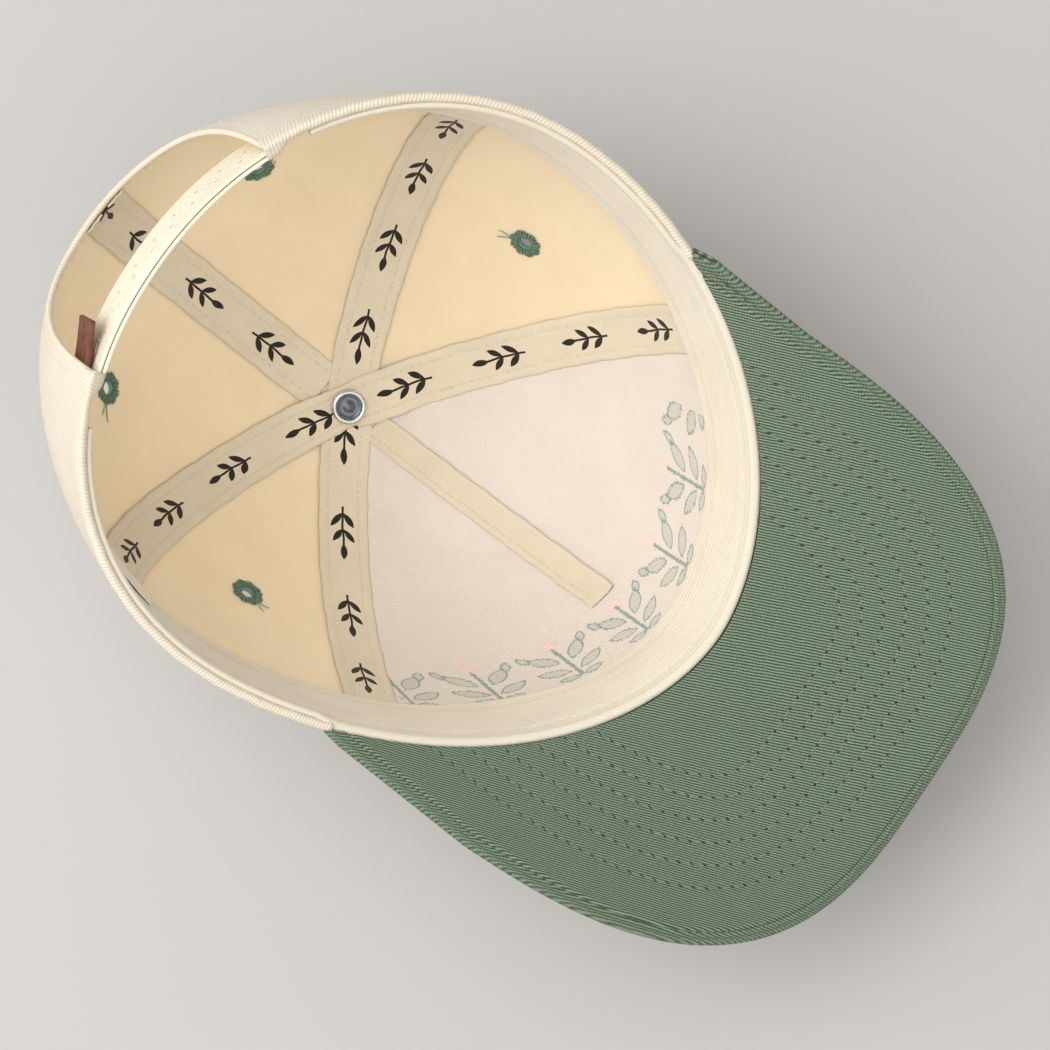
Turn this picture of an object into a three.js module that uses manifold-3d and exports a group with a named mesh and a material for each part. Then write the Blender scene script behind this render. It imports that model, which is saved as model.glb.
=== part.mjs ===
// Five-panel cotton baseball cap, lying upside down on its crown, in millimetres.
// Every piece is shaped as the cap is worn: x to the wearer's right, y forward, z up,
// with the rim near z = 0. One group then turns the whole cap over onto its crown.
import * as THREE from "three";
import { mergeVertices } from "three/addons/utils/BufferGeometryUtils.js";
import Module from "manifold-3d";

const wasm = await Module();
wasm.setup();

// Rim: an oval with its widest station at y = 0
const HALF_WIDTH = 87;
const REACH_FRONT = 112;
const REACH_BACK = 78;
const SQUARENESS_FRONT = 1.84;
const SQUARENESS_BACK = 2.11;
const FRONT_LIFT = 3.6;
// The soft rim lies a little to the wearer's right at its widest
const DRIFT = 4.2;
const DRIFT_SLOPE = 0.042;
const DRIFT_BOW = -0.00051;

// Crown
const CROWN_HEIGHT = 110.4;
const TOP_X = -1;
const TOP_Y = 11.1;
const MERIDIAN_MEAN = 2.35;
const MERIDIAN_FORE_AFT = -0.04;
const MERIDIAN_SIDES = 0.13;
const SHOULDER = 1.95;
const BACK_BULGE = 0.23;
const BULGE_FOCUS = 4;

// How the cap lies: its leaning angle, how far the crown gives, and the dimple under the button
const LEAN = THREE.MathUtils.degToRad(22);
const CROWN_GIVE = 4;
const GIVE_BLEND = 0.8;
const BUTTON_DIMPLE = 1.4;
const DIMPLE_RADIUS = 26;

// Layers, as distances from the middle of the crown's cloth; outwards is positive
const GAP = 0.3;
const LAYER_GAP = 0.46;
const CLOTH = 1.2;
const LINER = 1;
const CLOTH_FACE = CLOTH / 2;
const LAYER_ONE = -CLOTH_FACE - LAYER_GAP;
const LAYER_TWO = LAYER_ONE - LINER - GAP;
const LAYER_THREE = LAYER_TWO - LINER - GAP;

// The angles are seen from above about the crown's top: 0 forward, positive to the right
const PANELS = [
  { name: "front_panel", from: -60.9, to: 53.9, columns: 16, hollow: 0 },
  { name: "side_panel_right", from: 53.9, to: 113.4, columns: 8, hollow: 1.8 },
  { name: "back_panel_right", from: 113.4, to: 176.5, columns: 9, hollow: 1.2 },
  { name: "back_panel_left", from: 176.5, to: 239.5, columns: 9, hollow: 1.2 },
  { name: "side_panel_left", from: 239.5, to: 299.1, columns: 8, hollow: 2 },
];
const DENTS = [
  { angle: 72, height: 0.62, depth: 1.8, spread: 0.1 },
  { angle: 262, height: 0.55, depth: 1.6, spread: 0.12 },
  { angle: 208, height: 0.5, depth: 1.2, spread: 0.14 },
];
const ROWS = 14;
const LOW_ROW = 0.03;
const PANEL_TOP = 0.979;
const SEAM_GAP = 0.2;

// Tapes over the seams
const TAPE_WIDTH = 15.5;
const DART_TAPE_WIDTH = 9.5;
const DART_EASE = 0.15;
const DART_END_HEIGHT = 62;
const SEAMS = { frontRight: 53.9, backRight: 113.4, back: 176.5, backLeft: 239.5, frontLeft: 299.1 };
const DART = -3.5;
const DOME_SCALE = 157;
const CROSSING = 0.1;
const CROSSING_RAMP = 0.14;
const TAPE_TOP = 0.11;

// Sweatband and its label
const BAND_HEIGHT = 32;
const BAND_FROM = -150.5;
const BAND_TO = 144.5;
const BAND_STEP_LOW = 6;
const BAND_STEP_HIGH = 9;
const BAND_COLUMNS = 48;
const BAND_HEIGHTS = [1.2, BAND_STEP_LOW, BAND_STEP_HIGH, 20, BAND_HEIGHT];
const LABEL_FIRST_COLUMN = 3;
const LABEL_COLUMNS = 3;

// Opening at the back
const ARCH_CENTRE = 4.2;
const ARCH_HALF_WIDTH = 37.1;
const ARCH_HEIGHT = 47;
const ARCH_SQUARENESS = 2.55;

// Snap strap
const STRAP_FROM = 146.5;
const STRAP_TO = 207.5;
const STRAP_LOW = 1;
const STRAP_HEIGHT = 19;
const STRAP_LEAN = Math.tan(THREE.MathUtils.degToRad(8.5));
const STRAP_THICKNESS = 1;
const SNAP_PITCH = 6.7;
const SNAP_HOLES = 7;
const SNAP_STUDS = 5;
const SNAP_HOLE_RADIUS = 1.9;
const STUD_RADIUS = 1.4;
const STUD_HEAD_RADIUS = 2.4;
const STUD_HEAD = 0.9;

// Leather tab beside the strap's left end
const TAB_FROM = 204;
const TAB_TO = 192.5;
const TAB_LOW = 6;
const TAB_HIGH = 18;
const TAB_THICKNESS = 1.5;
const TAB_FLARE = 3.4;

// Peak
const PEAK_HALF_WIDTH = 83;
const PEAK_STATION = 80;
const PEAK_REACH = 104;
const PEAK_SQUARENESS = 2.7;
const PEAK_SIDE_SHARE = 0.18;
const PEAK_CORNER_LEFT = -75;
const PEAK_CORNER_RIGHT = 70;
const PEAK_SLOPE = Math.tan(THREE.MathUtils.degToRad(10));
const PEAK_CURVE = 0.00276;
const PEAK_CLOTH = 1.5;
const PEAK_COLUMNS = 30;
const PEAK_ROWS = 6;
const PEAK_CORNER_WIDTH = 2.5;

// Sewn eyelets
const EYELETS = [
  { name: "eyelet_side_right", panel: "side_panel_right", angle: 82.5, height: 72 },
  { name: "eyelet_side_left", panel: "side_panel_left", angle: 268, height: 70 },
  { name: "eyelet_back_right", panel: "back_panel_right", angle: 149, height: 72 },
  { name: "eyelet_back_left", panel: "back_panel_left", angle: 207, height: 76 },
];
const EYELET_RADIUS = 4.8;
const EYELET_BARREL = 2.3;
const EYELET_HOLE = 1.4;
const EYELET_LIP = 0.7;
const EYELET_CLEARANCE = 0.5;

// Button and rivet at the top
const BUTTON_RADIUS = 6.5;
const BUTTON_HEIGHT = 4.2;
const BUTTON_CLEARANCE = 0.45;
const SOCKET_RADIUS = 1.5;
const SOCKET_DEPTH = 2.6;
const RIVET_RADIUS = 5.3;
const RIVET_POST = 1.2;
const TAPE_HOLE = 1.7;

const radians = THREE.MathUtils.degToRad;
const mix = THREE.MathUtils.lerp;
const step = THREE.MathUtils.smoothstep;

// A signed power keeps a superellipse's four quarters
function signedPower(value, power) {
  return Math.sign(value) * Math.abs(value) ** power;
}

// The rim seen from above, by its own parameter: 0 at the forehead
function rimPlan(turn) {
  const forward = Math.cos(turn);
  const reach = forward > 0 ? REACH_FRONT : REACH_BACK;
  const power = 2 / (forward > 0 ? SQUARENESS_FRONT : SQUARENESS_BACK);
  const y = reach * signedPower(forward, power);
  const middle = DRIFT + DRIFT_SLOPE * y + DRIFT_BOW * y * y;
  return [middle + HALF_WIDTH * signedPower(Math.sin(turn), power), y];
}

// Distance from the crown's top to the rim, seen from above, in one direction
function rimRadius(angle) {
  const right = Math.sin(angle);
  const forward = Math.cos(angle);
  let low = angle - 0.7;
  let high = angle + 0.7;
  for (let i = 0; i < 40; i++) {
    const middle = (low + high) / 2;
    const [x, y] = rimPlan(middle);
    if (right * (y - TOP_Y) - forward * (x - TOP_X) > 0) low = middle;
    else high = middle;
  }
  const [x, y] = rimPlan((low + high) / 2);
  return Math.hypot(x - TOP_X, y - TOP_Y);
}

function rimHeight(angle) {
  return FRONT_LIFT * Math.max(Math.cos(angle), 0) ** 2;
}

function meridianPower(angle) {
  return MERIDIAN_MEAN + MERIDIAN_FORE_AFT * Math.cos(angle) + MERIDIAN_SIDES * Math.cos(2 * angle);
}

// How far a panel sinks between its seams, and the dents of the soft cloth
function sink(angle, rise) {
  const degrees = ((THREE.MathUtils.radToDeg(angle) + 60.9 + 720) % 360) - 60.9;
  const panel = PANELS.find((p) => degrees >= p.from && degrees <= p.to) ?? PANELS[0];
  const across = (degrees - panel.from) / (panel.to - panel.from);
  let depth = panel.hollow * Math.sin(Math.PI * across) ** 2 * Math.sin(Math.PI * rise) ** 2;
  for (const dent of DENTS) {
    const aside = radians(degrees - dent.angle) * 0.6;
    const distance = Math.hypot(aside, rise - dent.height) / dent.spread;
    depth += dent.depth * Math.exp(-distance * distance);
  }
  return depth;
}

// The middle of the crown's cloth; rise runs from 0 at the rim to 1 at the top
function crownMiddle(angle, rise) {
  const quarter = (rise * Math.PI) / 2;
  const height = Math.sin(quarter) ** (2 / meridianPower(angle));
  const bulge = BACK_BULGE * Math.max(-Math.cos(angle), 0) ** BULGE_FOCUS * 4 * height * (1 - height);
  const inset = Math.max(Math.cos(quarter), 0) ** (2 / SHOULDER) * (1 + bulge);
  const radius = rimRadius(angle) * inset - sink(angle, rise);
  const low = rimHeight(angle);
  const dimple = BUTTON_DIMPLE * Math.cos((Math.min(radius / DIMPLE_RADIUS, 1) * Math.PI) / 2) ** 2;
  const z = low + (CROWN_HEIGHT - low) * height - dimple;
  return new THREE.Vector3(TOP_X + radius * Math.sin(angle), TOP_Y + radius * Math.cos(angle), z);
}

function crownNormal(angle, rise) {
  if (rise > 0.99) return new THREE.Vector3(0, 0, 1);
  const up = crownMiddle(angle, rise + 0.008).sub(crownMiddle(angle, Math.max(rise - 0.008, 0)));
  const along = crownMiddle(angle + 0.01, rise).sub(crownMiddle(angle - 0.01, rise));
  return up.cross(along).normalize();
}

// Distance below the leaning cap's rim, measured straight down to the ground
function drop(point) {
  return point.y * Math.sin(LEAN) + point.z * Math.cos(LEAN);
}

// The crown's cloth stops at the ground, with a soft bend where it starts to lie flat
function layFlat(point, limit) {
  const overlap = Math.max(GIVE_BLEND - Math.abs(drop(point) - limit), 0);
  const stopped = Math.min(drop(point), limit) - (overlap * overlap) / (4 * GIVE_BLEND);
  const lift = drop(point) - stopped;
  point.y -= lift * Math.sin(LEAN);
  point.z -= lift * Math.cos(LEAN);
  return point;
}

function lowestOfCrown() {
  let lowest = 0;
  for (let i = 0; i <= 200; i++) {
    const rise = 0.5 + i / 400;
    const face = crownMiddle(0, rise).addScaledVector(crownNormal(0, rise), CLOTH_FACE);
    lowest = Math.max(lowest, drop(face));
  }
  return lowest;
}
const GROUND = lowestOfCrown() - CROWN_GIVE;

// A point of a layer: angle about the top, rise from the rim, distance from the middle of the cloth
function crownPoint(angle, rise, layer) {
  const point = crownMiddle(angle, rise).addScaledVector(crownNormal(angle, rise), layer);
  return layFlat(point, GROUND - CLOTH_FACE + layer);
}

function riseAt(angle, z) {
  const low = rimHeight(angle);
  const height = THREE.MathUtils.clamp((z - low) / (CROWN_HEIGHT - low), 0, 1);
  return (2 / Math.PI) * Math.asin(height ** (meridianPower(angle) / 2));
}

function planRadius(angle, rise) {
  const point = crownMiddle(angle, rise);
  return Math.hypot(point.x - TOP_X, point.y - TOP_Y);
}

// A geometry from points and triangles, turned to face outwards
function closedGeometry(points, triangles) {
  let volume = 0;
  for (const [a, b, c] of triangles) volume += points[a].dot(points[b].clone().cross(points[c]));
  const faces = volume < 0 ? triangles.map(([a, b, c]) => [a, c, b]) : triangles;
  const geometry = new THREE.BufferGeometry().setFromPoints(points);
  geometry.setIndex(faces.flat());
  return geometry;
}

// A closed wall between two faces, each a function of across and along from 0 to 1
function wall(columns, rows, outer, inner) {
  const points = [];
  const triangles = [];
  const place = (side, i, j) => (side * (columns + 1) + i) * (rows + 1) + j;
  for (const face of [outer, inner]) {
    for (let i = 0; i <= columns; i++) {
      for (let j = 0; j <= rows; j++) points.push(face(i / columns, j / rows));
    }
  }
  const quad = (a, b, c, d) => triangles.push([a, b, c], [a, c, d]);
  for (let i = 0; i < columns; i++) {
    for (let j = 0; j < rows; j++) {
      quad(place(0, i, j), place(0, i + 1, j), place(0, i + 1, j + 1), place(0, i, j + 1));
      quad(place(1, i, j), place(1, i, j + 1), place(1, i + 1, j + 1), place(1, i + 1, j));
    }
  }
  for (let i = 0; i < columns; i++) {
    quad(place(0, i, 0), place(1, i, 0), place(1, i + 1, 0), place(0, i + 1, 0));
    quad(place(0, i, rows), place(0, i + 1, rows), place(1, i + 1, rows), place(1, i, rows));
  }
  for (let j = 0; j < rows; j++) {
    quad(place(0, 0, j), place(0, 0, j + 1), place(1, 0, j + 1), place(1, 0, j));
    quad(place(0, columns, j), place(1, columns, j), place(1, columns, j + 1), place(0, columns, j + 1));
  }
  return closedGeometry(points, triangles);
}

function toSolid(geometry) {
  const bare = geometry.clone();
  bare.deleteAttribute("normal");
  bare.deleteAttribute("uv");
  const merged = mergeVertices(bare, 1e-3);
  return new wasm.Manifold(
    new wasm.Mesh({
      numProp: 3,
      vertProperties: new Float32Array(merged.attributes.position.array),
      triVerts: new Uint32Array(merged.index.array),
    }),
  );
}

function toGeometry(solid) {
  const mesh = solid.getMesh();
  const geometry = new THREE.BufferGeometry();
  geometry.setAttribute("position", new THREE.BufferAttribute(mesh.vertProperties, 3));
  geometry.setIndex(new THREE.BufferAttribute(mesh.triVerts, 1));
  return geometry;
}

function cut(geometry, tools) {
  return toGeometry(tools.reduce((solid, tool) => solid.subtract(toSolid(tool)), toSolid(geometry)));
}

function join(geometry, extras) {
  return toGeometry(extras.reduce((solid, extra) => solid.add(toSolid(extra)), toSolid(geometry)));
}

// A turned shape standing along z, from rows of radius and height
function turned(rows, sides) {
  const profile = rows.map(([radius, height]) => new THREE.Vector2(radius, height));
  const geometry = new THREE.LatheGeometry(profile, sides).rotateX(Math.PI / 2);
  const merged = mergeVertices(geometry.deleteAttribute("normal").deleteAttribute("uv"), 1e-4);
  const points = [];
  for (let i = 0; i < merged.attributes.position.count; i++) {
    points.push(new THREE.Vector3().fromBufferAttribute(merged.attributes.position, i));
  }
  const triangles = [];
  for (let i = 0; i < merged.index.count; i += 3) {
    const corners = [0, 1, 2].map((k) => merged.index.getX(i + k));
    if (new Set(corners).size === 3) triangles.push(corners);
  }
  return closedGeometry(points, triangles);
}

function pin(radius, low, high, sides) {
  return turned([[0, low], [radius, low], [radius, high], [0, high]], sides);
}

// Moves a shape that stands on z so that it stands at a point along a direction
function standAt(geometry, point, direction) {
  const turn = new THREE.Quaternion().setFromUnitVectors(new THREE.Vector3(0, 0, 1), direction);
  return geometry.applyQuaternion(turn).translate(point.x, point.y, point.z);
}

// The angle a little inside a panel's edge, so that neighbours keep a gap at the seam
function insideEdges(panel, across, rise, margin) {
  const from = radians(panel.from);
  const to = radians(panel.to);
  const first = from + Math.asin(margin / planRadius(from, rise));
  const last = to - Math.asin(margin / planRadius(to, rise));
  return mix(first, last, across);
}

// A panel has even rows, with one more near the rim and the last one short of the top
function panelGeometry(panel) {
  const rises = [0, LOW_ROW];
  for (let j = 1; j < ROWS; j++) rises.push(j / ROWS);
  rises.push(PANEL_TOP);
  const face = (layer) => (across, along) => {
    const rise = rises[Math.round(along * (rises.length - 1))];
    return crownPoint(insideEdges(panel, across, rise, SEAM_GAP), rise, layer);
  };
  return wall(panel.columns, rises.length - 1, face(CLOTH_FACE), face(-CLOTH_FACE));
}

// The front panel's stiff net lining, between the tapes
function liningGeometry() {
  const panel = PANELS[0];
  const first = 1 / ROWS;
  const last = 12 / ROWS;
  const margin = TAPE_WIDTH / 2 + GAP;
  const face = (layer) => (across, along) => {
    const rise = mix(first, last, along);
    return crownPoint(insideEdges(panel, across, rise, margin), rise, layer);
  };
  return wall(panel.columns, 11, face(LAYER_ONE), face(LAYER_ONE - LINER));
}

// A tape laid over the crown: stations of angle and distance from the top, and a side that says
// which way is across, because a tape that passes over the top goes down the far side
function tapeGeometry(stations, width, depth) {
  const face = (extra) => (across, along) => {
    const { angle, away, side } = stations[Math.round(along * (stations.length - 1))];
    const aside = side * (across - 0.5) * width;
    const middle = radians(angle);
    const radius = away === 0 ? 0 : planRadius(middle, 1 - away);
    const turn = middle + Math.atan2(aside, radius);
    const rise = 1 - Math.hypot(away, aside / DOME_SCALE);
    return crownPoint(turn, rise, depth(away) - extra);
  };
  return wall(2, stations.length - 1, face(0), face(LINER));
}

function meridianStations(angle, first, last, side) {
  const stations = [];
  for (let j = first; j <= last; j++) stations.push({ angle, away: 1 - j / ROWS, side });
  return stations;
}

// From the rim up one seam, over the top and down the other
function overTheTop(upAngle, downAngle) {
  const up = meridianStations(upAngle, 1, 12, -1);
  const down = meridianStations(downAngle, 1, 12, 1).reverse();
  const close = [CROSSING, CROSSING * 0.7, 1 - PANEL_TOP];
  return [
    ...up,
    ...close.map((away) => ({ angle: upAngle, away, side: -1 })),
    { angle: downAngle, away: 0, side: 1 },
    ...close.map((away) => ({ angle: downAngle, away, side: 1 })).reverse(),
    ...down,
  ];
}

function overTapeDepth(away) {
  return mix(LAYER_TWO, LAYER_ONE, step(away, CROSSING, CROSSING_RAMP));
}

function underTapeDepth() {
  return LAYER_ONE;
}

function dartTapeDepth() {
  return LAYER_TWO - DART_EASE;
}

function dartStations() {
  const end = riseAt(radians(DART), DART_END_HEIGHT);
  const stations = meridianStations(DART, Math.ceil(end * ROWS), 12, 1);
  return [{ angle: DART, away: 1 - end, side: 1 }, ...stations, { angle: DART, away: TAPE_TOP, side: 1 }];
}

// The sweatband: low down it lies on the cloth, higher up on the lining and the tapes
function bandLayer(height) {
  return mix(LAYER_ONE, LAYER_TWO, step(height, BAND_STEP_LOW, BAND_STEP_HIGH));
}

function bandPoint(column, height, extra) {
  const angle = radians(mix(BAND_FROM, BAND_TO, column / BAND_COLUMNS));
  return crownPoint(angle, riseAt(angle, rimHeight(angle) + height), bandLayer(height) - extra);
}

function bandGeometry() {
  const rows = BAND_HEIGHTS.length - 1;
  const face = (extra) => (across, along) =>
    bandPoint(across * BAND_COLUMNS, BAND_HEIGHTS[Math.round(along * rows)], extra);
  return wall(BAND_COLUMNS, rows, face(0), face(CLOTH));
}

// The size label lies on the sweatband, along its upper edge
function labelGeometry() {
  const [low, high] = BAND_HEIGHTS.slice(-2);
  const face = (extra) => (across, along) =>
    bandPoint(LABEL_FIRST_COLUMN + across * LABEL_COLUMNS, mix(low, high, along), CLOTH + GAP + extra);
  return wall(LABEL_COLUMNS, 1, face(0), face(LINER));
}

// A point beside the rim at the back, above it by a height and out from it by a distance
function besideRim(angle, height, out) {
  const radius = rimRadius(angle) + out + height * STRAP_LEAN;
  return new THREE.Vector3(TOP_X + radius * Math.sin(angle), TOP_Y + radius * Math.cos(angle), height);
}

function strapGeometry(outside) {
  const face = (extra) => (across, along) => {
    const angle = radians(mix(STRAP_FROM, STRAP_TO, across));
    return besideRim(angle, STRAP_LOW + along * STRAP_HEIGHT, outside - extra);
  };
  return wall(14, 1, face(0), face(STRAP_THICKNESS));
}

// The snaps' places, from the strap's middle outwards
function snapPins(count, radius, low, high) {
  const height = STRAP_LOW + STRAP_HEIGHT / 2;
  const pins = [];
  for (let i = 0; i < count; i++) {
    const angle = radians((STRAP_FROM + STRAP_TO) / 2 + (i - (count - 1) / 2) * SNAP_PITCH);
    const outwards = new THREE.Vector3(Math.sin(angle), Math.cos(angle), -STRAP_LEAN).normalize();
    pins.push(standAt(pin(radius, low, high, 12), besideRim(angle, height, 0), outwards));
  }
  return pins;
}

function holedStrapGeometry() {
  return cut(strapGeometry(LAYER_ONE), snapPins(SNAP_HOLES, SNAP_HOLE_RADIUS, -4, 3));
}

function studdedStrapGeometry() {
  const outside = LAYER_ONE - STRAP_THICKNESS - GAP;
  const stems = snapPins(SNAP_STUDS, STUD_RADIUS, outside - STRAP_THICKNESS / 2, LAYER_ONE + GAP + 0.1);
  const heads = snapPins(SNAP_STUDS, STUD_HEAD_RADIUS, LAYER_ONE + GAP, LAYER_ONE + GAP + STUD_HEAD);
  return join(strapGeometry(outside), [...stems, ...heads]);
}

// The tab starts between the strap and the cloth and flares away from the strap
function tabGeometry() {
  const face = (extra) => (across, along) => {
    const angle = radians(mix(TAB_FROM, TAB_TO, across));
    const away = LAYER_ONE + GAP + TAB_FLARE * across * across;
    return besideRim(angle, mix(TAB_LOW, TAB_HIGH, along), away + extra);
  };
  return wall(6, 2, face(TAB_THICKNESS), face(0));
}

// The peak's outer edge seen from above; across runs from -1 at the left corner to 1 at the right
function peakOutline(across) {
  const front = 1 - PEAK_SIDE_SHARE;
  const turn = (THREE.MathUtils.clamp(across / front, -1, 1) * Math.PI) / 2;
  const n = PEAK_SQUARENESS;
  const radius = (Math.abs(Math.cos(turn)) ** n + Math.abs(Math.sin(turn)) ** n) ** (-1 / n);
  const x = PEAK_HALF_WIDTH * radius * Math.sin(turn);
  const y = PEAK_STATION + PEAK_REACH * radius * Math.cos(turn);
  const side = Math.max(Math.abs(across) - front, 0) / PEAK_SIDE_SHARE;
  const corner = peakInner(Math.sign(across), PEAK_CORNER_WIDTH);
  return [mix(x, corner.x, side), mix(y, corner.y, side)];
}

// The peak's inner edge follows the crown's outer face
function peakInner(across, out) {
  const angle = radians(mix(PEAK_CORNER_LEFT, PEAK_CORNER_RIGHT, (across + 1) / 2));
  return crownPoint(angle, 0, CLOTH_FACE + GAP + out);
}

function peakHeight(x, y) {
  return FRONT_LIFT - PEAK_CURVE * x * x - PEAK_SLOPE * (y - REACH_FRONT);
}

// The middle of the peak; along runs from the crown to the outer edge
function peakMiddle(across, along) {
  const inner = peakInner(across, 0.1);
  const [outerX, outerY] = peakOutline(across);
  const x = mix(inner.x, outerX, along);
  const y = mix(inner.y, outerY, along);
  const atRim = inner.z - peakHeight(inner.x, inner.y);
  return new THREE.Vector3(x, y, peakHeight(x, y) + atRim * (1 - along) ** 2);
}

function peakPoint(across, along, layer) {
  const ahead = Math.min(along + 0.01, 1);
  const aside = Math.min(across + 0.01, 1);
  const out = peakMiddle(across, ahead).sub(peakMiddle(across, ahead - 0.02));
  const right = peakMiddle(aside, along).sub(peakMiddle(aside - 0.02, along));
  return peakMiddle(across, along).addScaledVector(right.cross(out).normalize(), layer);
}

function peakGeometry(low, high) {
  const face = (layer) => (across, along) => peakPoint(across * 2 - 1, along, layer);
  return wall(PEAK_COLUMNS, PEAK_ROWS, face(high), face(low));
}

function archTool() {
  const outline = new THREE.Shape();
  outline.moveTo(ARCH_CENTRE + ARCH_HALF_WIDTH, -30);
  for (let i = 0; i <= 20; i++) {
    const turn = (i / 20) * Math.PI;
    const x = ARCH_CENTRE + ARCH_HALF_WIDTH * signedPower(Math.cos(turn), 2 / ARCH_SQUARENESS);
    outline.lineTo(x, ARCH_HEIGHT * signedPower(Math.sin(turn), 2 / ARCH_SQUARENESS));
  }
  outline.lineTo(ARCH_CENTRE - ARCH_HALF_WIDTH, -30);
  const prism = new THREE.ExtrudeGeometry(outline, { depth: 150, bevelEnabled: false });
  return prism.rotateX(Math.PI / 2);
}

// An eyelet's ring grips both faces of the cloth round its hole
function eyeletGeometry(eyelet) {
  const near = CLOTH_FACE + EYELET_CLEARANCE;
  const far = near + EYELET_LIP;
  const lip = EYELET_RADIUS - 0.5;
  const rows = [
    [EYELET_HOLE, -far], [lip, -far], [EYELET_RADIUS, -near], [EYELET_BARREL, -near],
    [EYELET_BARREL, near], [EYELET_RADIUS, near], [lip, far], [EYELET_HOLE, far],
    [EYELET_HOLE, -far],
  ];
  return placeEyelet(turned(rows, 16), eyelet);
}

function placeEyelet(geometry, eyelet) {
  const angle = radians(eyelet.angle);
  const rise = riseAt(angle, eyelet.height);
  return standAt(geometry, crownPoint(angle, rise, 0), crownNormal(angle, rise));
}

function eyeletHole(eyelet) {
  return placeEyelet(pin(EYELET_BARREL + GAP, -4, 4, 12), eyelet);
}

const TOP = crownPoint(0, 1, 0);

function buttonGeometry() {
  const under = CLOTH_FACE + BUTTON_CLEARANCE;
  const rows = [
    [0, under + SOCKET_DEPTH], [SOCKET_RADIUS, under + SOCKET_DEPTH], [SOCKET_RADIUS, under],
    [BUTTON_RADIUS - 0.9, under], [BUTTON_RADIUS, under + 0.7],
  ];
  for (let i = 1; i < 5; i++) {
    const turn = (i / 5) * (Math.PI / 2);
    rows.push([BUTTON_RADIUS * Math.cos(turn), under + 0.7 + (BUTTON_HEIGHT - 0.7) * Math.sin(turn)]);
  }
  rows.push([0, under + BUTTON_HEIGHT]);
  return turned(rows, 20).translate(TOP.x, TOP.y, TOP.z);
}

function rivetGeometry() {
  const face = LAYER_THREE - 0.2;
  const rows = [
    [0, CLOTH_FACE + BUTTON_CLEARANCE + SOCKET_DEPTH - GAP],
    [RIVET_POST, CLOTH_FACE + BUTTON_CLEARANCE + SOCKET_DEPTH - GAP],
    [RIVET_POST, face], [RIVET_RADIUS, face], [RIVET_RADIUS, face - 0.9],
    [RIVET_RADIUS - 0.6, face - 1.6], [RIVET_RADIUS - 1.4, face - 1.6],
    [RIVET_RADIUS - 1.9, face - 0.9], [0, face - 0.6],
  ];
  return turned(rows, 20).translate(TOP.x, TOP.y, TOP.z);
}

function postHole() {
  return pin(TAPE_HOLE, -20, 20, 12).translate(TOP.x, TOP.y, TOP.z);
}

const material = (color, roughness, metalness = 0) =>
  new THREE.MeshStandardMaterial({ color, roughness, metalness });
const CREAM_TWILL = material(0xf0e4d0, 0.85);
const LINING_NET = material(0xf0e6dc, 0.9);
const KHAKI_TAPE = material(0xdccdaf, 0.8);
const BAND_COTTON = material(0xeee6d4, 0.85);
const SAGE_TWILL = material(0x6c8b70, 0.85);
const SAGE_THREAD = material(0x5a7d64, 0.7);
const CREAM_PLASTIC = material(0xf2e8d2, 0.35);
const BROWN_LEATHER = material(0x733e28, 0.6);
const STEEL = material(0xb8bcc0, 0.25, 1);
const LABEL_WHITE = material(0xefeae0, 0.8);

const cap = new THREE.Group();

function addPiece(name, geometry, finish) {
  const mesh = new THREE.Mesh(geometry, finish);
  mesh.name = name;
  cap.add(mesh);
}

for (const panel of PANELS) {
  const tools = EYELETS.filter((eyelet) => eyelet.panel === panel.name).map(eyeletHole);
  if (panel.name.startsWith("back")) tools.push(archTool());
  addPiece(panel.name, cut(panelGeometry(panel), tools), CREAM_TWILL);
}
addPiece("front_lining", liningGeometry(), LINING_NET);

const overPath = overTheTop(SEAMS.frontRight, SEAMS.backLeft);
const underPath = overTheTop(SEAMS.backRight, SEAMS.frontLeft);
const backPath = [...meridianStations(SEAMS.back, 3, 12, 1), { angle: SEAMS.back, away: TAPE_TOP, side: 1 }];
addPiece("tape_over_top", cut(tapeGeometry(overPath, TAPE_WIDTH, overTapeDepth), [postHole()]), KHAKI_TAPE);
addPiece("tape_under_top", cut(tapeGeometry(underPath, TAPE_WIDTH, underTapeDepth), [postHole()]), KHAKI_TAPE);
addPiece("tape_back", tapeGeometry(backPath, TAPE_WIDTH, underTapeDepth), KHAKI_TAPE);
addPiece("tape_dart", tapeGeometry(dartStations(), DART_TAPE_WIDTH, dartTapeDepth), KHAKI_TAPE);

addPiece("sweatband", bandGeometry(), BAND_COTTON);
addPiece("size_label", labelGeometry(), LABEL_WHITE);
addPiece("peak_top_cloth", peakGeometry(GAP / 2, GAP / 2 + PEAK_CLOTH), SAGE_TWILL);
addPiece("peak_under_cloth", peakGeometry(-GAP / 2 - PEAK_CLOTH, -GAP / 2), SAGE_TWILL);
addPiece("strap_holed", holedStrapGeometry(), CREAM_PLASTIC);
addPiece("strap_studded", studdedStrapGeometry(), CREAM_PLASTIC);
addPiece("leather_tab", tabGeometry(), BROWN_LEATHER);
for (const eyelet of EYELETS) addPiece(eyelet.name, eyeletGeometry(eyelet), SAGE_THREAD);
addPiece("crown_button", buttonGeometry(), SAGE_TWILL);
addPiece("button_rivet", rivetGeometry(), STEEL);

// Turned over and leaning towards the peak, with the ground at z = 0 and centred over the origin
cap.rotation.x = Math.PI + LEAN;
cap.position.z = GROUND;
const hat = new THREE.Group();
hat.add(cap);
const box = new THREE.Box3().setFromObject(hat, true);
cap.position.x = -(box.min.x + box.max.x) / 2;
cap.position.y = -(box.min.y + box.max.y) / 2;

export default hat;
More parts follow.
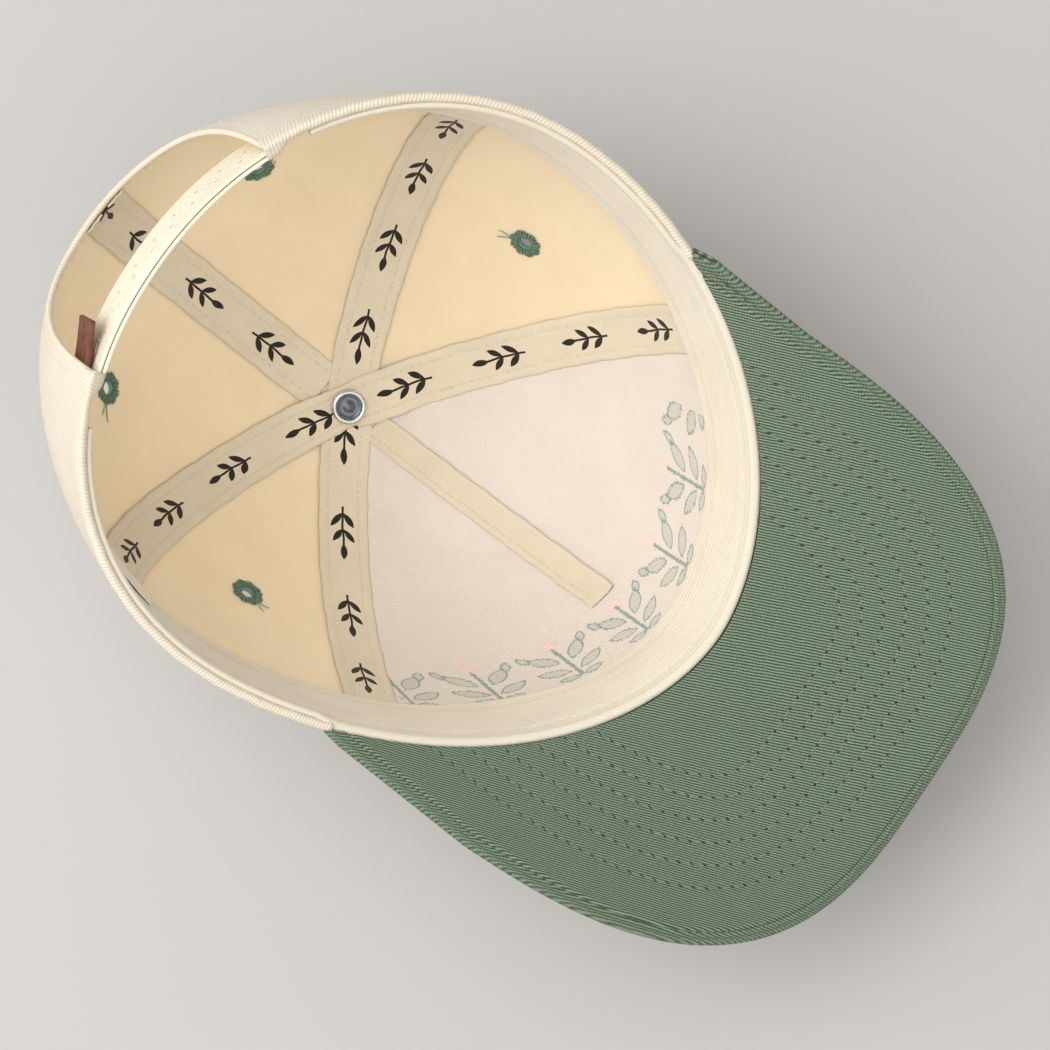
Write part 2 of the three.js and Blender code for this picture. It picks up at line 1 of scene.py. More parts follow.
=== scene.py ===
"""The looks of a five-panel cotton baseball cap that lies upside down on its crown.

Lengths are in millimetres, with the cap as it is worn: x to the wearer's right, y forward and
z up from the rim. place() turns the cap over and gives metres. A point of the crown is named by
its angle about the top, its rise from the rim (0) to the top (1), and its layer, which is the
distance out from the middle of the crown's cloth.
"""
import math

import bmesh
import bpy
import numpy as np
from mathutils import Matrix, Vector


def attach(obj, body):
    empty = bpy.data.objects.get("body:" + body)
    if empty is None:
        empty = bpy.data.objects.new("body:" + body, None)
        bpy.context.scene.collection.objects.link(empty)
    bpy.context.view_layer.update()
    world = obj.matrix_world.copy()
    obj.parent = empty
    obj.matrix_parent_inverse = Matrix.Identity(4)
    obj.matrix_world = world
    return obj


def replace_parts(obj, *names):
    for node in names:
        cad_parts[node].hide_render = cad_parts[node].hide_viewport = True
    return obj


# Rim
HALF_WIDTH = 87
REACH_FRONT = 112
REACH_BACK = 78
SQUARENESS_FRONT = 1.84
SQUARENESS_BACK = 2.11
FRONT_LIFT = 3.6
DRIFT = 4.2
DRIFT_SLOPE = 0.042
DRIFT_BOW = -0.00051

# Crown
CROWN_HEIGHT = 110.4
TOP_X = -1
TOP_Y = 11.1
MERIDIAN_MEAN = 2.35
MERIDIAN_FORE_AFT = -0.04
MERIDIAN_SIDES = 0.13
SHOULDER = 1.95
BACK_BULGE = 0.23
BULGE_FOCUS = 4
BUTTON_DIMPLE = 1.4
DIMPLE_RADIUS = 26
CLOTH = 1.2
RIPPLE = 0.3

# How the cap lies
LEAN = math.radians(22)
GIVE_BLEND = 0.8
MOVE_X = -3.99
MOVE_Y = 35.861
GROUND = 111.049

# Panels: their edges as angles about the top, their columns, and how far they sink in
PANELS = [
    {"name": "front_panel", "from": -60.9, "to": 53.9, "columns": 150, "hollow": 0},
    {"name": "side_panel_right", "from": 53.9, "to": 113.4, "columns": 84, "hollow": 1.8},
    {"name": "back_panel_right", "from": 113.4, "to": 176.5, "columns": 110, "hollow": 1.2},
    {"name": "back_panel_left", "from": 176.5, "to": 239.5, "columns": 110, "hollow": 1.2},
    {"name": "side_panel_left", "from": 239.5, "to": 299.1, "columns": 84, "hollow": 2},
]
PANEL_ROWS = 116
DENTS = [
    {"angle": 72, "height": 0.62, "depth": 1.8, "spread": 0.1},
    {"angle": 262, "height": 0.55, "depth": 1.6, "spread": 0.12},
    {"angle": 208, "height": 0.5, "depth": 1.2, "spread": 0.14},
]
SOFT_FOLDS = [
    {"angle": 246, "rise": 0.62, "depth": 0.9, "wide": 0.05, "tall": 0.22},
    {"angle": 290, "rise": 0.66, "depth": -0.8, "wide": 0.05, "tall": 0.2},
    {"angle": 255, "rise": 0.36, "depth": -0.8, "wide": 0.09, "tall": 0.12},
    {"angle": 66, "rise": 0.7, "depth": -0.9, "wide": 0.06, "tall": 0.16},
    {"angle": 103, "rise": 0.68, "depth": 0.8, "wide": 0.05, "tall": 0.18},
    {"angle": 128, "rise": 0.55, "depth": 0.7, "wide": 0.07, "tall": 0.2},
    {"angle": 160, "rise": 0.62, "depth": -0.7, "wide": 0.06, "tall": 0.18},
    {"angle": 222, "rise": 0.6, "depth": 0.8, "wide": 0.06, "tall": 0.2},
    {"angle": 190, "rise": 0.66, "depth": 0.6, "wide": 0.05, "tall": 0.18},
]
PANEL_FOOT = 0.9
PANEL_TOP = 0.985
SEAM_TUCK = 0.45
SEAMS = {
    "front_right": 53.9,
    "back_right": 113.4,
    "back": 176.5,
    "back_left": 239.5,
    "front_left": 299.1,
}
TOPSTITCH = 4.75

# Stitches, and the faces of the cloth that they lie on
SEAM_STITCH = {"pitch": 3.1, "length": 2.4, "radius": 0.24, "rounding": 1}
TAPE_STITCH = {"pitch": 3.1, "length": 2.5, "radius": 0.3, "rounding": 1}
BAND_STITCH = {"pitch": 3, "length": 2.2, "radius": 0.2, "rounding": 2}
HEM_STITCH = {"pitch": 3, "length": 2.2, "radius": 0.2, "rounding": 1}
EDGE_STITCH = {"pitch": 3.4, "length": 2.7, "radius": 0.22, "rounding": 1}
STITCHED_FROM = 0.045
STITCHED_TO = 0.93
SEAM_FACE = 0.62
HEM_FACE_OUTSIDE = 0.64
HEM_FACE_INSIDE = -0.66
TAPE_FACE = 0.38
BAND_FACE = -2.62
ABOVE = 3

# Opening at the back
ARCH_CENTRE = 4.2
ARCH_HALF_WIDTH = 37.1
ARCH_HEIGHT = 47
ARCH_SQUARENESS = 2.55
ARCH_ROLL = 0.85
HEM_WIDTH = 3.4

# Layers of the pieces that lie inside the crown
LINING_LAYER = -0.9
TAPE_LAYER = -1.35
TAPE_CROSSING = -2.15
DART_LAYER = -1.75

# Tapes
TAPE_WIDTH = 15.5
DART_TAPE_WIDTH = 9.5
DART = -3.5
DART_END_HEIGHT = 62
DOME_SCALE = 157
TAPE_HIDDEN_END = 0.07
TAPE_LOW_END = 0.06
DART_STITCH_ROW = -2.6
DART_LIFT = 0.7

# Sweatband and label
BAND_FROM = -150.5
BAND_TO = 144.5
BAND_STITCH_HEIGHT = 4.4
LABEL_FROM = 3 / 48
LABEL_SPAN = 3 / 48
LABEL_LENGTH = 29
LABEL_LOW = 20.5
LABEL_HEIGHT = 11
LABEL_LAYER = -3.25
PEAK_CORNER_LEFT = -75
PEAK_CORNER_RIGHT = 70

# Strap and tab
STRAP_FROM = 146.5
STRAP_TO = 207.5
STRAP_LOW = 1
STRAP_HEIGHT = 19
STRAP_LEAN = math.tan(math.radians(8.5))
STRAP_THICKNESS = 1
STRAP_OUTSIDE = -1.06
STRAP_TUCK = 0.02
SNAP_PITCH = 6.7
TAB_FROM = 204
TAB_TO = 192.5
TAB_LOW = 6
TAB_HIGH = 18
TAB_THICKNESS = 1.5
TAB_FLARE = 3.4

# Peak
PEAK_HALF_WIDTH = 83
PEAK_STATION = 80
PEAK_REACH = 104
PEAK_SQUARENESS = 2.7
PEAK_SIDE_SHARE = 0.18
PEAK_SLOPE = math.tan(math.radians(10))
PEAK_CURVE = 0.00276
PEAK_CORNER_WIDTH = 2.5
PEAK_CORNER_SLANT = 0.955
PEAK_HALF_THICKNESS = 1.65
PEAK_PARTING = 0.12
PEAK_LIP = 2.6
PEAK_SEAM_GAP = 0.1
QUILT_FIRST = 13.9
QUILT_STEP = 6
QUILT_ROWS = 6
QUILT_PITCH = 3.8
QUILT_SHIFT = 1.7
LIP_ROW = 1.1
EDGE_ROW = 2.6
RIB_SLANT = math.radians(24)
RIB_PITCH = 0.84
RIB_GATHER_LEFT = 0.004
RIB_GATHER_RIGHT = 0.001

EYELETS = [
    {"name": "eyelet_side_right", "angle": 82.5, "height": 72, "tail": (-0.35, 0.97), "length": 5},
    {"name": "eyelet_side_left", "angle": 268, "height": 70, "tail": (-0.3, -0.95), "length": 4},
    {"name": "eyelet_back_right", "angle": 149, "height": 72, "tail": (1.0, 0.05), "length": 2},
    {"name": "eyelet_back_left", "angle": 207, "height": 76, "tail": (-0.94, -0.34), "length": 6},
]
EYELET_RADIUS = 4.7
EYELET_HOLE = 1.9
EYELET_CUT = 3.2
EYELET_THREADS = 52
BUTTON_RADIUS = 6.5
BUTTON_HEIGHT = 4.2
RIVET_RADIUS = 5.3

# Sheets: the columns and rows of their grids, and how thick they are
TAPE_SHEET = {"columns": 26, "rows": 260, "thickness": 0.6}
LINING_SHEET = {"columns": 140, "rows": 110, "thickness": 0.4}
BAND_SHEET = {"columns": 460, "rows": 56, "thickness": 0.8}
LABEL_SHEET = {"columns": 40, "rows": 14, "thickness": 0.35}
PEAK_TOP_SHEET = {"columns": 260, "rows": 70, "thickness": 0.9}
PEAK_UNDER_SHEET = {"columns": 360, "rows": 125, "thickness": 0.9}
STRAP_SHEET = {"columns": 90, "rows": 16, "thickness": 0.95}
TAB_SHEET = {"columns": 40, "rows": 26, "thickness": TAB_THICKNESS}

# What the frame takes as a sheet: the least side in metres, and the least share of its box
LEAST_SHEET = 0.0101
LEAST_SHARE = 0.301

# Camera, in the row's metres: where it stands, and its right, down and forward directions
CAMERA_PLACE = (-0.0185, -0.0821, 0.9036)
CAMERA_RIGHT = (0.5573, -0.8275, -0.0682)
CAMERA_DOWN = (-0.8302, -0.5538, -0.0638)
CAMERA_FORWARD = (0.0150, 0.0922, -0.9956)
FOCAL_PIXELS = 2992.9
PHOTO_PIXELS = 1050
SENSOR_WIDTH = 36

# Stage, in the row's metres, with the lights' power in watts
LIGHTS = [
    {
        "name": "key", "towards": (-0.62, 0.78, 1.15), "distance": 1.25,
        "size": 1.15, "watts": 9.3, "colour": (1.0, 0.99, 0.975),
    },
    {
        "name": "fill", "towards": (-0.3, -0.95, 1.5), "distance": 1.7,
        "size": 1.4, "watts": 6, "colour": (1.0, 0.98, 0.95),
    },
    {
        "name": "overhead", "towards": (0.06, 0.28, 1.0), "distance": 1.9,
        "size": 1.4, "watts": 11.4, "colour": (1.0, 0.99, 0.98),
    },
]
WORLD_COLOUR = (1.0, 0.985, 0.965, 1)
WORLD_STRENGTH = 0.62
FLOOR_GAP = 0.0003


# Shape of the crown

def signed_power(value, power):
    return np.sign(value) * np.abs(value) ** power


def smooth(value, low, high):
    t = np.clip((value - low) / (high - low), 0, 1)
    return t * t * (3 - 2 * t)


def rim_plan(turn):
    forward = np.cos(turn)
    front = forward > 0
    power = 2 / np.where(front, SQUARENESS_FRONT, SQUARENESS_BACK)
    y = np.where(front, REACH_FRONT, REACH_BACK) * signed_power(forward, power)
    middle = DRIFT + DRIFT_SLOPE * y + DRIFT_BOW * y * y
    return middle + HALF_WIDTH * signed_power(np.sin(turn), power), y


def measure_rim(angle):
    low = angle - 0.7
    high = angle + 0.7
    for _ in range(40):
        middle = (low + high) / 2
        x, y = rim_plan(middle)
        short = np.sin(angle) * (y - TOP_Y) - np.cos(angle) * (x - TOP_X) > 0
        low = np.where(short, middle, low)
        high = np.where(short, high, middle)
    x, y = rim_plan((low + high) / 2)
    return np.hypot(x - TOP_X, y - TOP_Y)


RIM_ANGLES = np.radians(np.arange(-200, 381, 0.5))
RIM_RADII = measure_rim(RIM_ANGLES)


def rim_radius(angle):
    return np.interp(angle, RIM_ANGLES, RIM_RADII)


def rim_height(angle):
    return FRONT_LIFT * np.maximum(np.cos(angle), 0) ** 2


def meridian_power(angle):
    return MERIDIAN_MEAN + MERIDIAN_FORE_AFT * np.cos(angle) + MERIDIAN_SIDES * np.cos(2 * angle)


def sink(angle, rise):
    """How far a panel sinks between its seams, with its dents and the unevenness of soft cloth."""
    start = PANELS[0]["from"]
    degrees = (np.degrees(angle) - start) % 360 + start
    depth = np.zeros_like(degrees)
    for panel in PANELS:
        across = np.clip((degrees - panel["from"]) / (panel["to"] - panel["from"]), 0, 1)
        depth += panel["hollow"] * np.sin(np.pi * across) ** 2 * np.sin(np.pi * rise) ** 2
    for dent in DENTS:
        aside = np.radians(degrees - dent["angle"]) * 0.6
        distance = np.hypot(aside, rise - dent["height"]) / dent["spread"]
        depth += dent["depth"] * np.exp(-distance * distance)
    for fold in SOFT_FOLDS:
        aside = np.radians(degrees - fold["angle"]) * 0.6 / fold["wide"]
        above = (rise - fold["rise"]) / fold["tall"]
        depth += fold["depth"] * np.exp(-aside * aside - above * above)
    uneven = np.sin(7 * angle + 5 * rise) * np.cos(4 * angle - 11 * rise)
    uneven += np.sin(13 * angle - 8 * rise) / 2
    return depth + RIPPLE * uneven * np.sin(np.pi * rise) ** 2


def crown_middle(angle, rise):
    angle, rise = spread_out(angle, rise)
    quarter = rise * np.pi / 2
    height = np.maximum(np.sin(quarter), 0) ** (2 / meridian_power(angle))
    bulge = BACK_BULGE * np.maximum(-np.cos(angle), 0) ** BULGE_FOCUS * 4 * height * (1 - height)
    inset = np.maximum(np.cos(quarter), 0) ** (2 / SHOULDER) * (1 + bulge)
    radius = rim_radius(angle) * inset - sink(angle, rise)
    low = rim_height(angle)
    dimple = BUTTON_DIMPLE * np.cos(np.clip(radius / DIMPLE_RADIUS, 0, 1) * np.pi / 2) ** 2
    z = low + (CROWN_HEIGHT - low) * height - dimple
    return np.stack([TOP_X + radius * np.sin(angle), TOP_Y + radius * np.cos(angle), z], -1)


def unit(vectors):
    return vectors / np.maximum(np.linalg.norm(vectors, axis=-1, keepdims=True), 1e-9)


def crown_normal(angle, rise):
    upper = np.minimum(rise + 0.008, 1)
    lower = np.maximum(rise - 0.008, 0)
    up = crown_middle(angle, upper) - crown_middle(angle, lower)
    aside = crown_middle(angle + 0.01, rise) - crown_middle(angle - 0.01, rise)
    top = np.asarray(rise)[..., None] > PANEL_TOP
    return np.where(top, [0.0, 0.0, 1.0], unit(np.cross(up, aside)))


def spread_out(*values):
    return np.broadcast_arrays(*(np.asarray(v, float) for v in values))


def crown_point(angle, rise, layer):
    """A point of a layer, stopped softly where the crown lies on the ground."""
    angle, rise, layer = spread_out(angle, rise, layer)
    point = crown_middle(angle, rise) + crown_normal(angle, rise) * layer[..., None]
    drop = point[..., 1] * math.sin(LEAN) + point[..., 2] * math.cos(LEAN)
    limit = GROUND - CLOTH / 2 + layer
    overlap = np.maximum(GIVE_BLEND - np.abs(drop - limit), 0)
    lift = drop - np.minimum(drop, limit) + overlap * overlap / (4 * GIVE_BLEND)
    return point - lift[..., None] * np.array([0, math.sin(LEAN), math.cos(LEAN)])


def rise_at(angle, z):
    low = rim_height(angle)
    height = np.clip((z - low) / (CROWN_HEIGHT - low), 0, 1)
    return 2 / np.pi * np.arcsin(height ** (meridian_power(angle) / 2))


def rim_point(angle, height, layer):
    """A point near the rim, which may be below it."""
    angle, height, layer = spread_out(angle, height, layer)
    rise = rise_at(angle, rim_height(angle) + np.maximum(height, 0))
    point = crown_point(angle, rise, layer)
    point[..., 2] += np.minimum(height, 0)
    return point


def plan_radius(angle, rise):
    point = crown_middle(angle, rise)
    return np.hypot(point[..., 0] - TOP_X, point[..., 1] - TOP_Y)


def place(points):
    """From the worn position in millimetres to the row's metres."""
    points = np.asarray(points, float)
    turn = math.pi + LEAN
    x = points[..., 0] + MOVE_X
    y = points[..., 1] * math.cos(turn) - points[..., 2] * math.sin(turn) + MOVE_Y
    z = points[..., 1] * math.sin(turn) + points[..., 2] * math.cos(turn) + GROUND
    return np.stack([x, y, z], -1) / 1000


def arch_angle(x, z):
    """The angle at which the crown's cloth has this x at this height, at the back."""
    low = np.full_like(x, math.radians(90))
    high = np.full_like(x, math.radians(270))
    for _ in range(40):
        middle = (low + high) / 2
        right = crown_middle(middle, rise_at(middle, z))[..., 0] > x
        low = np.where(right, middle, low)
        high = np.where(right, high, middle)
    return (low + high) / 2


def arch_path(first, last, count, beyond=0):
    """Angles and heights along the opening's edge, or beyond it, from the wearer's right."""
    turn = np.linspace(first, last, count)
    power = 2 / ARCH_SQUARENESS
    x = ARCH_CENTRE + (ARCH_HALF_WIDTH + beyond) * signed_power(np.cos(turn), power)
    z = (ARCH_HEIGHT + beyond) * signed_power(np.sin(turn), power)
    return arch_angle(x, z), z


ARCH_ANGLES, ARCH_HEIGHTS = arch_path(0, math.pi, 241)


# Meshes

def travel(path):
    """How far along a path each of its points lies."""
    return np.concatenate([[0], np.cumsum(np.linalg.norm(np.diff(path, axis=0), axis=1))])


def flat_marks(across, along):
    """Where points lie on the flat cloth, in millimetres."""
    return np.stack([across, along, np.zeros_like(across)], -1)


def new_piece(name, bm, materials):
    for face in bm.faces:
        face.smooth = True
    mesh = bpy.data.meshes.new(name)
    bm.to_mesh(mesh)
    bm.free()
    piece = bpy.data.objects.new(name, mesh)
    bpy.context.scene.collection.objects.link(piece)
    for finish in materials:
        mesh.materials.append(finish)
    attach(piece, "root")
    return piece


def mark_layer(bm, name="flat"):
    layers = bm.verts.layers.float_vector
    return layers.get(name) or layers.new(name)


def lay_grid(bm, columns, rows, point, flat):
    """A grid laid where point(across, along) says; flat gives each vertex its marks on the cloth."""
    marks = mark_layer(bm)
    verts = bmesh.ops.create_grid(bm, x_segments=columns, y_segments=rows, size=0.5)["verts"]
    across = np.array([v.co.x + 0.5 for v in verts])
    along = np.array([v.co.y + 0.5 for v in verts])
    places = place(point(across, along))
    flats = flat(across, along)
    for vert, spot, mark in zip(verts, places.tolist(), flats.tolist()):
        vert.co = spot
        vert[marks] = mark


def thicken(piece, thickness, outer_material=0, offset=0):
    solid = piece.modifiers.new("thickness", "SOLIDIFY")
    solid.thickness = thickness / 1000
    solid.offset = offset
    solid.material_offset = outer_material


def soften_edges(piece, width):
    bevel = piece.modifiers.new("soft edges", "BEVEL")
    bevel.width = width / 1000
    bevel.segments = 2
    bevel.limit_method = "ANGLE"


def lay_piece(name, finish, sheet, point, flat):
    """A laid grid made into a piece. Its sheet says how many columns and rows, and how thick."""
    bm = bmesh.new()
    lay_grid(bm, sheet["columns"], sheet["rows"], point, flat)
    piece = new_piece(name, bm, [finish])
    thicken(piece, sheet["thickness"])
    return piece


def declare_cloth(point, columns=60, rows=60):
    """Works out a laid cloth's flat width, length and area, measured on its shape, and keeps none of them.
    """
    steps = np.linspace(0, 1, columns + 1), np.linspace(0, 1, rows + 1)
    across, along = np.meshgrid(*steps, indexing="ij")
    p = place(point(across.ravel(), along.ravel())).reshape(columns + 1, rows + 1, 3)
    wide = p[1:, :-1] - p[:-1, :-1]
    tall = p[:-1, 1:] - p[:-1, :-1]
    area = float(np.linalg.norm(np.cross(wide, tall), axis=-1).sum())
    width = float(np.linalg.norm(np.diff(p, axis=0), axis=-1).sum(0).max())
    length = float(np.linalg.norm(np.diff(p, axis=1), axis=-1).sum(1).max())
    width = max(width, LEAST_SHEET)
    length = max(length, LEAST_SHEET)
    area = min(max(area, LEAST_SHARE * width * length), width * length)


def resample(path, pitch):
    """Evenly spaced points of a path."""
    travelled = travel(path)
    stops = np.arange(pitch / 2, travelled[-1], pitch)
    return np.stack([np.interp(stops, travelled, path[:, k]) for k in range(3)], 1)


def sew(bm, path, above, stitch):
    """Stitches along a path in the row's metres; above is the path moved up from the cloth."""
    spots = resample(path, stitch["pitch"] / 1000)
    share = np.linspace(0, 1, len(spots))
    steps = np.linspace(0, 1, len(above))
    lifted = np.stack([np.interp(share, steps, above[:, k]) for k in range(3)], 1)
    radius = stitch["radius"] / 1000
    size = Matrix.Diagonal((stitch["length"] / 2000, radius, radius * 0.7, 1))
    for i, spot in enumerate(spots):
        ahead = spots[min(i + 1, len(spots) - 1)] - spots[max(i - 1, 0)]
        up = Vector(lifted[i] - spot)
        run = Vector(ahead).normalized()
        side = run.cross(up).normalized()
        turn = Matrix((run, side, side.cross(run))).transposed().to_4x4()
        matrix = Matrix.Translation(spot) @ turn @ size
        bmesh.ops.create_icosphere(bm, subdivisions=stitch["rounding"], radius=1, matrix=matrix)


def sweep_tube(bm, path, radius, sides):
    """A closed tube along a path in the row's metres."""
    marks = mark_layer(bm)
    forward = unit(np.gradient(path, axis=0))
    travelled = travel(path)
    rings = []
    side = Vector(forward[0]).orthogonal().normalized()
    for i, spot in enumerate(path):
        run = Vector(forward[i])
        side = (side - run * side.dot(run)).normalized()
        turn = Matrix((side, run.cross(side), run)).transposed().to_4x4()
        matrix = Matrix.Translation(spot) @ turn
        ring = bmesh.ops.create_circle(bm, segments=sides, radius=radius / 1000, matrix=matrix)["verts"]
        for k, vert in enumerate(ring):
            vert[marks] = (k / sides * 2 * math.pi * radius, travelled[i] * 1000, 0)
        rings.append(ring)
    for pair in zip(rings, rings[1:]):
        edges = {e for ring in pair for v in ring for e in v.link_edges if e.other_vert(v) in ring}
        bmesh.ops.bridge_loops(bm, edges=list(edges))
    for ring in (rings[0], rings[-1]):
        bmesh.ops.contextual_create(bm, geom=ring)


def turn_profile(bm, rows, sides, centre, axis):
    """A turned shape from rows of radius and height, standing at a centre along an axis."""
    others = set(bm.verts)
    profile = [bm.verts.new((radius / 1000, 0, height / 1000)) for radius, height in rows]
    edges = [bm.edges.new(pair) for pair in zip(profile, profile[1:])]
    middle = {"cent": (0, 0, 0), "axis": (0, 0, 1), "angle": 2 * math.pi}
    bmesh.ops.spin(bm, geom=profile + edges, steps=sides, use_merge=True, **middle)
    bmesh.ops.remove_doubles(bm, verts=[v for v in bm.verts if v not in others], dist=1e-6)
    verts = [v for v in bm.verts if v not in others]
    bmesh.ops.recalc_face_normals(bm, faces=list({f for v in verts for f in v.link_faces}))
    turn = Vector((0, 0, 1)).rotation_difference(Vector(axis)).to_matrix().to_4x4()
    bmesh.ops.transform(bm, matrix=Matrix.Translation(centre) @ turn, verts=verts)


# Colours and how shaders reckon with them

def rgb(red, green, blue):
    """A colour as seen, from 0 to 255, in the linear values that shaders take."""
    values = [v / 255 for v in (red, green, blue)]
    return (*[v / 12.92 if v <= 0.04045 else ((v + 0.055) / 1.055) ** 2.4 for v in values], 1.0)


def scaled(colour, share):
    return (*[min(v * share, 1) for v in colour[:3]], 1.0)


CREAM = rgb(226, 215, 198)
CREAM_LIT_THROUGH = rgb(238, 219, 189)
CREAM_FOLDED = rgb(230, 218, 198)
GARLAND_GREEN = rgb(112, 141, 116)
GARLAND_PINK = rgb(232, 186, 190)
REVERSE_GREEN = rgb(126, 154, 148)
REVERSE_PINK = rgb(240, 208, 204)
NET = rgb(227, 219, 211)
NET_SHADE = rgb(176, 158, 138)
TAPE = rgb(223, 212, 191)
TAPE_SHADE = rgb(196, 181, 155)
PRINT = rgb(38, 30, 26)
BAND = rgb(232, 225, 210)
BAND_SHADE = rgb(200, 186, 158)
# Painted shade on the band's folded lower edge.
BAND_FOLD_SHADE = rgb(217, 209, 191)
# Painted shade in the grooves of the green twill.
SAGE_GROOVE_SHADE = rgb(48, 64, 48)
SAGE_RIDGE = rgb(134, 151, 128)
QUILT_THREAD = rgb(140, 157, 138)
# Painted shade in needle holes and in the grooves along the peak's edge.
NEEDLE_HOLE_SHADE = rgb(30, 40, 31)
EDGE_GROOVE_SHADE = rgb(52, 66, 53)
THREAD_GREEN = rgb(124, 158, 134)
THREAD_DARK_GREEN = rgb(64, 86, 68)
THREAD_CREAM = rgb(240, 230, 206)
PLASTIC_DARK = rgb(238, 224, 196)
PLASTIC_LIGHT = rgb(250, 241, 222)
DIMPLE_SHADE = rgb(186, 172, 146)
LEATHER_DARK = rgb(80, 41, 27)
LEATHER_LIGHT = rgb(128, 74, 50)
# Painted shade in the leather's small holes.
LEATHER_HOLE_SHADE = rgb(48, 24, 16)
STEEL_DARK = rgb(196, 198, 202)
STEEL_LIGHT = rgb(232, 233, 236)
CUP_DARK = rgb(74, 80, 88)
CUP_LIGHT = rgb(124, 130, 138)
LABEL = rgb(236, 231, 222)
FLOOR = rgb(187, 185, 183)


class Value:
    """A number at a node's output. Arithmetic with it adds the nodes that work it out."""

    def __init__(self, finish, socket):
        self.finish = finish
        self.socket = socket

    def __add__(self, other):
        return self.finish.math("ADD", self, other)

    def __sub__(self, other):
        return self.finish.math("SUBTRACT", self, other)

    def __mul__(self, other):
        return self.finish.math("MULTIPLY", self, other)

    def __truediv__(self, other):
        return self.finish.math("DIVIDE", self, other)

    def __abs__(self):
        return self.finish.math("ABSOLUTE", self)

    def below(self, limit):
        """1 where the value is less than the limit, and 0 elsewhere."""
        return self.finish.math("LESS_THAN", self, limit)

    def most(self, other):
        return self.finish.math("MAXIMUM", self, other)

    def wrap(self, reach):
        """The value repeated over and over between minus reach and reach."""
        return self.finish.math("WRAP", self, reach, -reach)

    def wave(self, pitch):
        """A sine from 0 to 1 with this pitch."""
        return self.finish.math("SINE", self * (2 * math.pi / pitch)) * 0.5 + 0.5

    def distance(self, other):
        """The length of the two values as the sides of a right angle."""
        squares = self.finish.math("POWER", self, 2) + self.finish.math("POWER", other, 2)
        return self.finish.math("SQRT", squares)

    def spread(self, from_low, from_high, to_low=0, to_high=1):
        node = self.finish.add("ShaderNodeMapRange")
        for socket, number in zip(node.inputs, (self, from_low, from_high, to_low, to_high)):
            self.finish.feed(socket, number)
        return Value(self.finish, node.outputs[0])

    def fade(self, full, none):
        """1 up to the first distance, falling to 0 at the second."""
        return self.spread(full, none, 1, 0)


class Finish:
    """A material or a node group, with short ways to add its nodes."""

    def __init__(self, tree):
        self.tree = tree

    def add(self, kind, **settings):
        node = self.tree.nodes.new(kind)
        for key, value in settings.items():
            setattr(node, key, value)
        return node

    def feed(self, socket, value):
        if isinstance(value, Value):
            value = value.socket
        if isinstance(value, bpy.types.NodeSocket):
            self.tree.links.new(value, socket)
        else:
            socket.default_value = value

    def math(self, operation, *values):
        node = self.add("ShaderNodeMath", operation=operation)
        for socket, value in zip(node.inputs, values):
            self.feed(socket, value)
        return Value(self, node.outputs[0])

    def blend(self, share, first, second):
        node = self.add("ShaderNodeMix", data_type="RGBA")
        self.feed(node.inputs[0], share)
        self.feed(node.inputs[6], first)
        self.feed(node.inputs[7], second)
        return node.outputs[2]

    def noise(self, vector, scale, detail=2.0):
        node = self.add("ShaderNodeTexNoise")
        self.feed(node.inputs["Vector"], vector)
        node.inputs["Scale"].default_value = scale
        node.inputs["Detail"].default_value = detail
        return Value(self, node.outputs[0])

    def marks(self, name="flat"):
        return self.add("ShaderNodeAttribute", attribute_name=name).outputs["Vector"]

    def turned(self, vector, angle):
        node = self.add("ShaderNodeVectorRotate", rotation_type="Z_AXIS")
        self.feed(node.inputs["Vector"], vector)
        self.feed(node.inputs["Angle"], angle)
        return node.outputs[0]

    def parts(self, vector):
        node = self.add("ShaderNodeSeparateXYZ")
        self.feed(node.inputs[0], vector)
        return Value(self, node.outputs[0]), Value(self, node.outputs[1])

    def use(self, group, **inputs):
        node = self.add("ShaderNodeGroup", node_tree=group)
        for name, value in inputs.items():
            self.feed(node.inputs[name], value)
        return [Value(self, output) for output in node.outputs]

    def leaf(self, along, across, centre, turn, length, width):
        """1 inside a pointed leaf shape."""
        c, s = math.cos(turn), math.sin(turn)
        x = along - centre[0]
        y = across - centre[1]
        share = self.math("POWER", abs((x * c + y * s) * (2 / length)), 2)
        return abs(y * c - x * s).below(share * (-width / 2) + width / 2)

    def done(self, colour, height=None, relief=0.0):
        """Gives the material its colour and its fine relief, in millimetres."""
        self.feed(self.shader.inputs["Base Color"], colour)
        if height is not None:
            bump = self.add("ShaderNodeBump")
            bump.inputs["Strength"].default_value = 1
            bump.inputs["Distance"].default_value = relief / 1000
            self.feed(bump.inputs["Height"], height)
            self.feed(self.shader.inputs["Normal"], bump.outputs[0])
        return self.material


# Materials

def make_group(name, inputs, outputs):
    group = bpy.data.node_groups.new(name, "ShaderNodeTree")
    for label, kind in inputs:
        group.interface.new_socket(name=label, in_out="INPUT", socket_type=kind)
    for label in outputs:
        group.interface.new_socket(name=label, in_out="OUTPUT", socket_type="NodeSocketFloat")
    finish = Finish(group)
    return group, finish, finish.add("NodeGroupInput").outputs, finish.add("NodeGroupOutput").inputs


def make_twill():
    """Slanting ribs of thread: a ridge height, and the broken threads along it."""
    inputs = [("Marks", "NodeSocketVector"), ("Slant", "NodeSocketFloat"), ("Pitch", "NodeSocketFloat")]
    group, finish, given, result = make_group("twill ribs", inputs, ["Ridge", "Thread"])
    x, y = finish.parts(finish.turned(given["Marks"], given["Slant"]))
    ribs = (x + finish.noise(given["Marks"], 0.25) * 0.5) / given["Pitch"]
    steps = y * 1.4 + finish.math("FLOOR", ribs) * 0.37
    finish.feed(result["Ridge"], ribs.wave(1))
    finish.feed(result["Thread"], steps.wave(1))
    return group


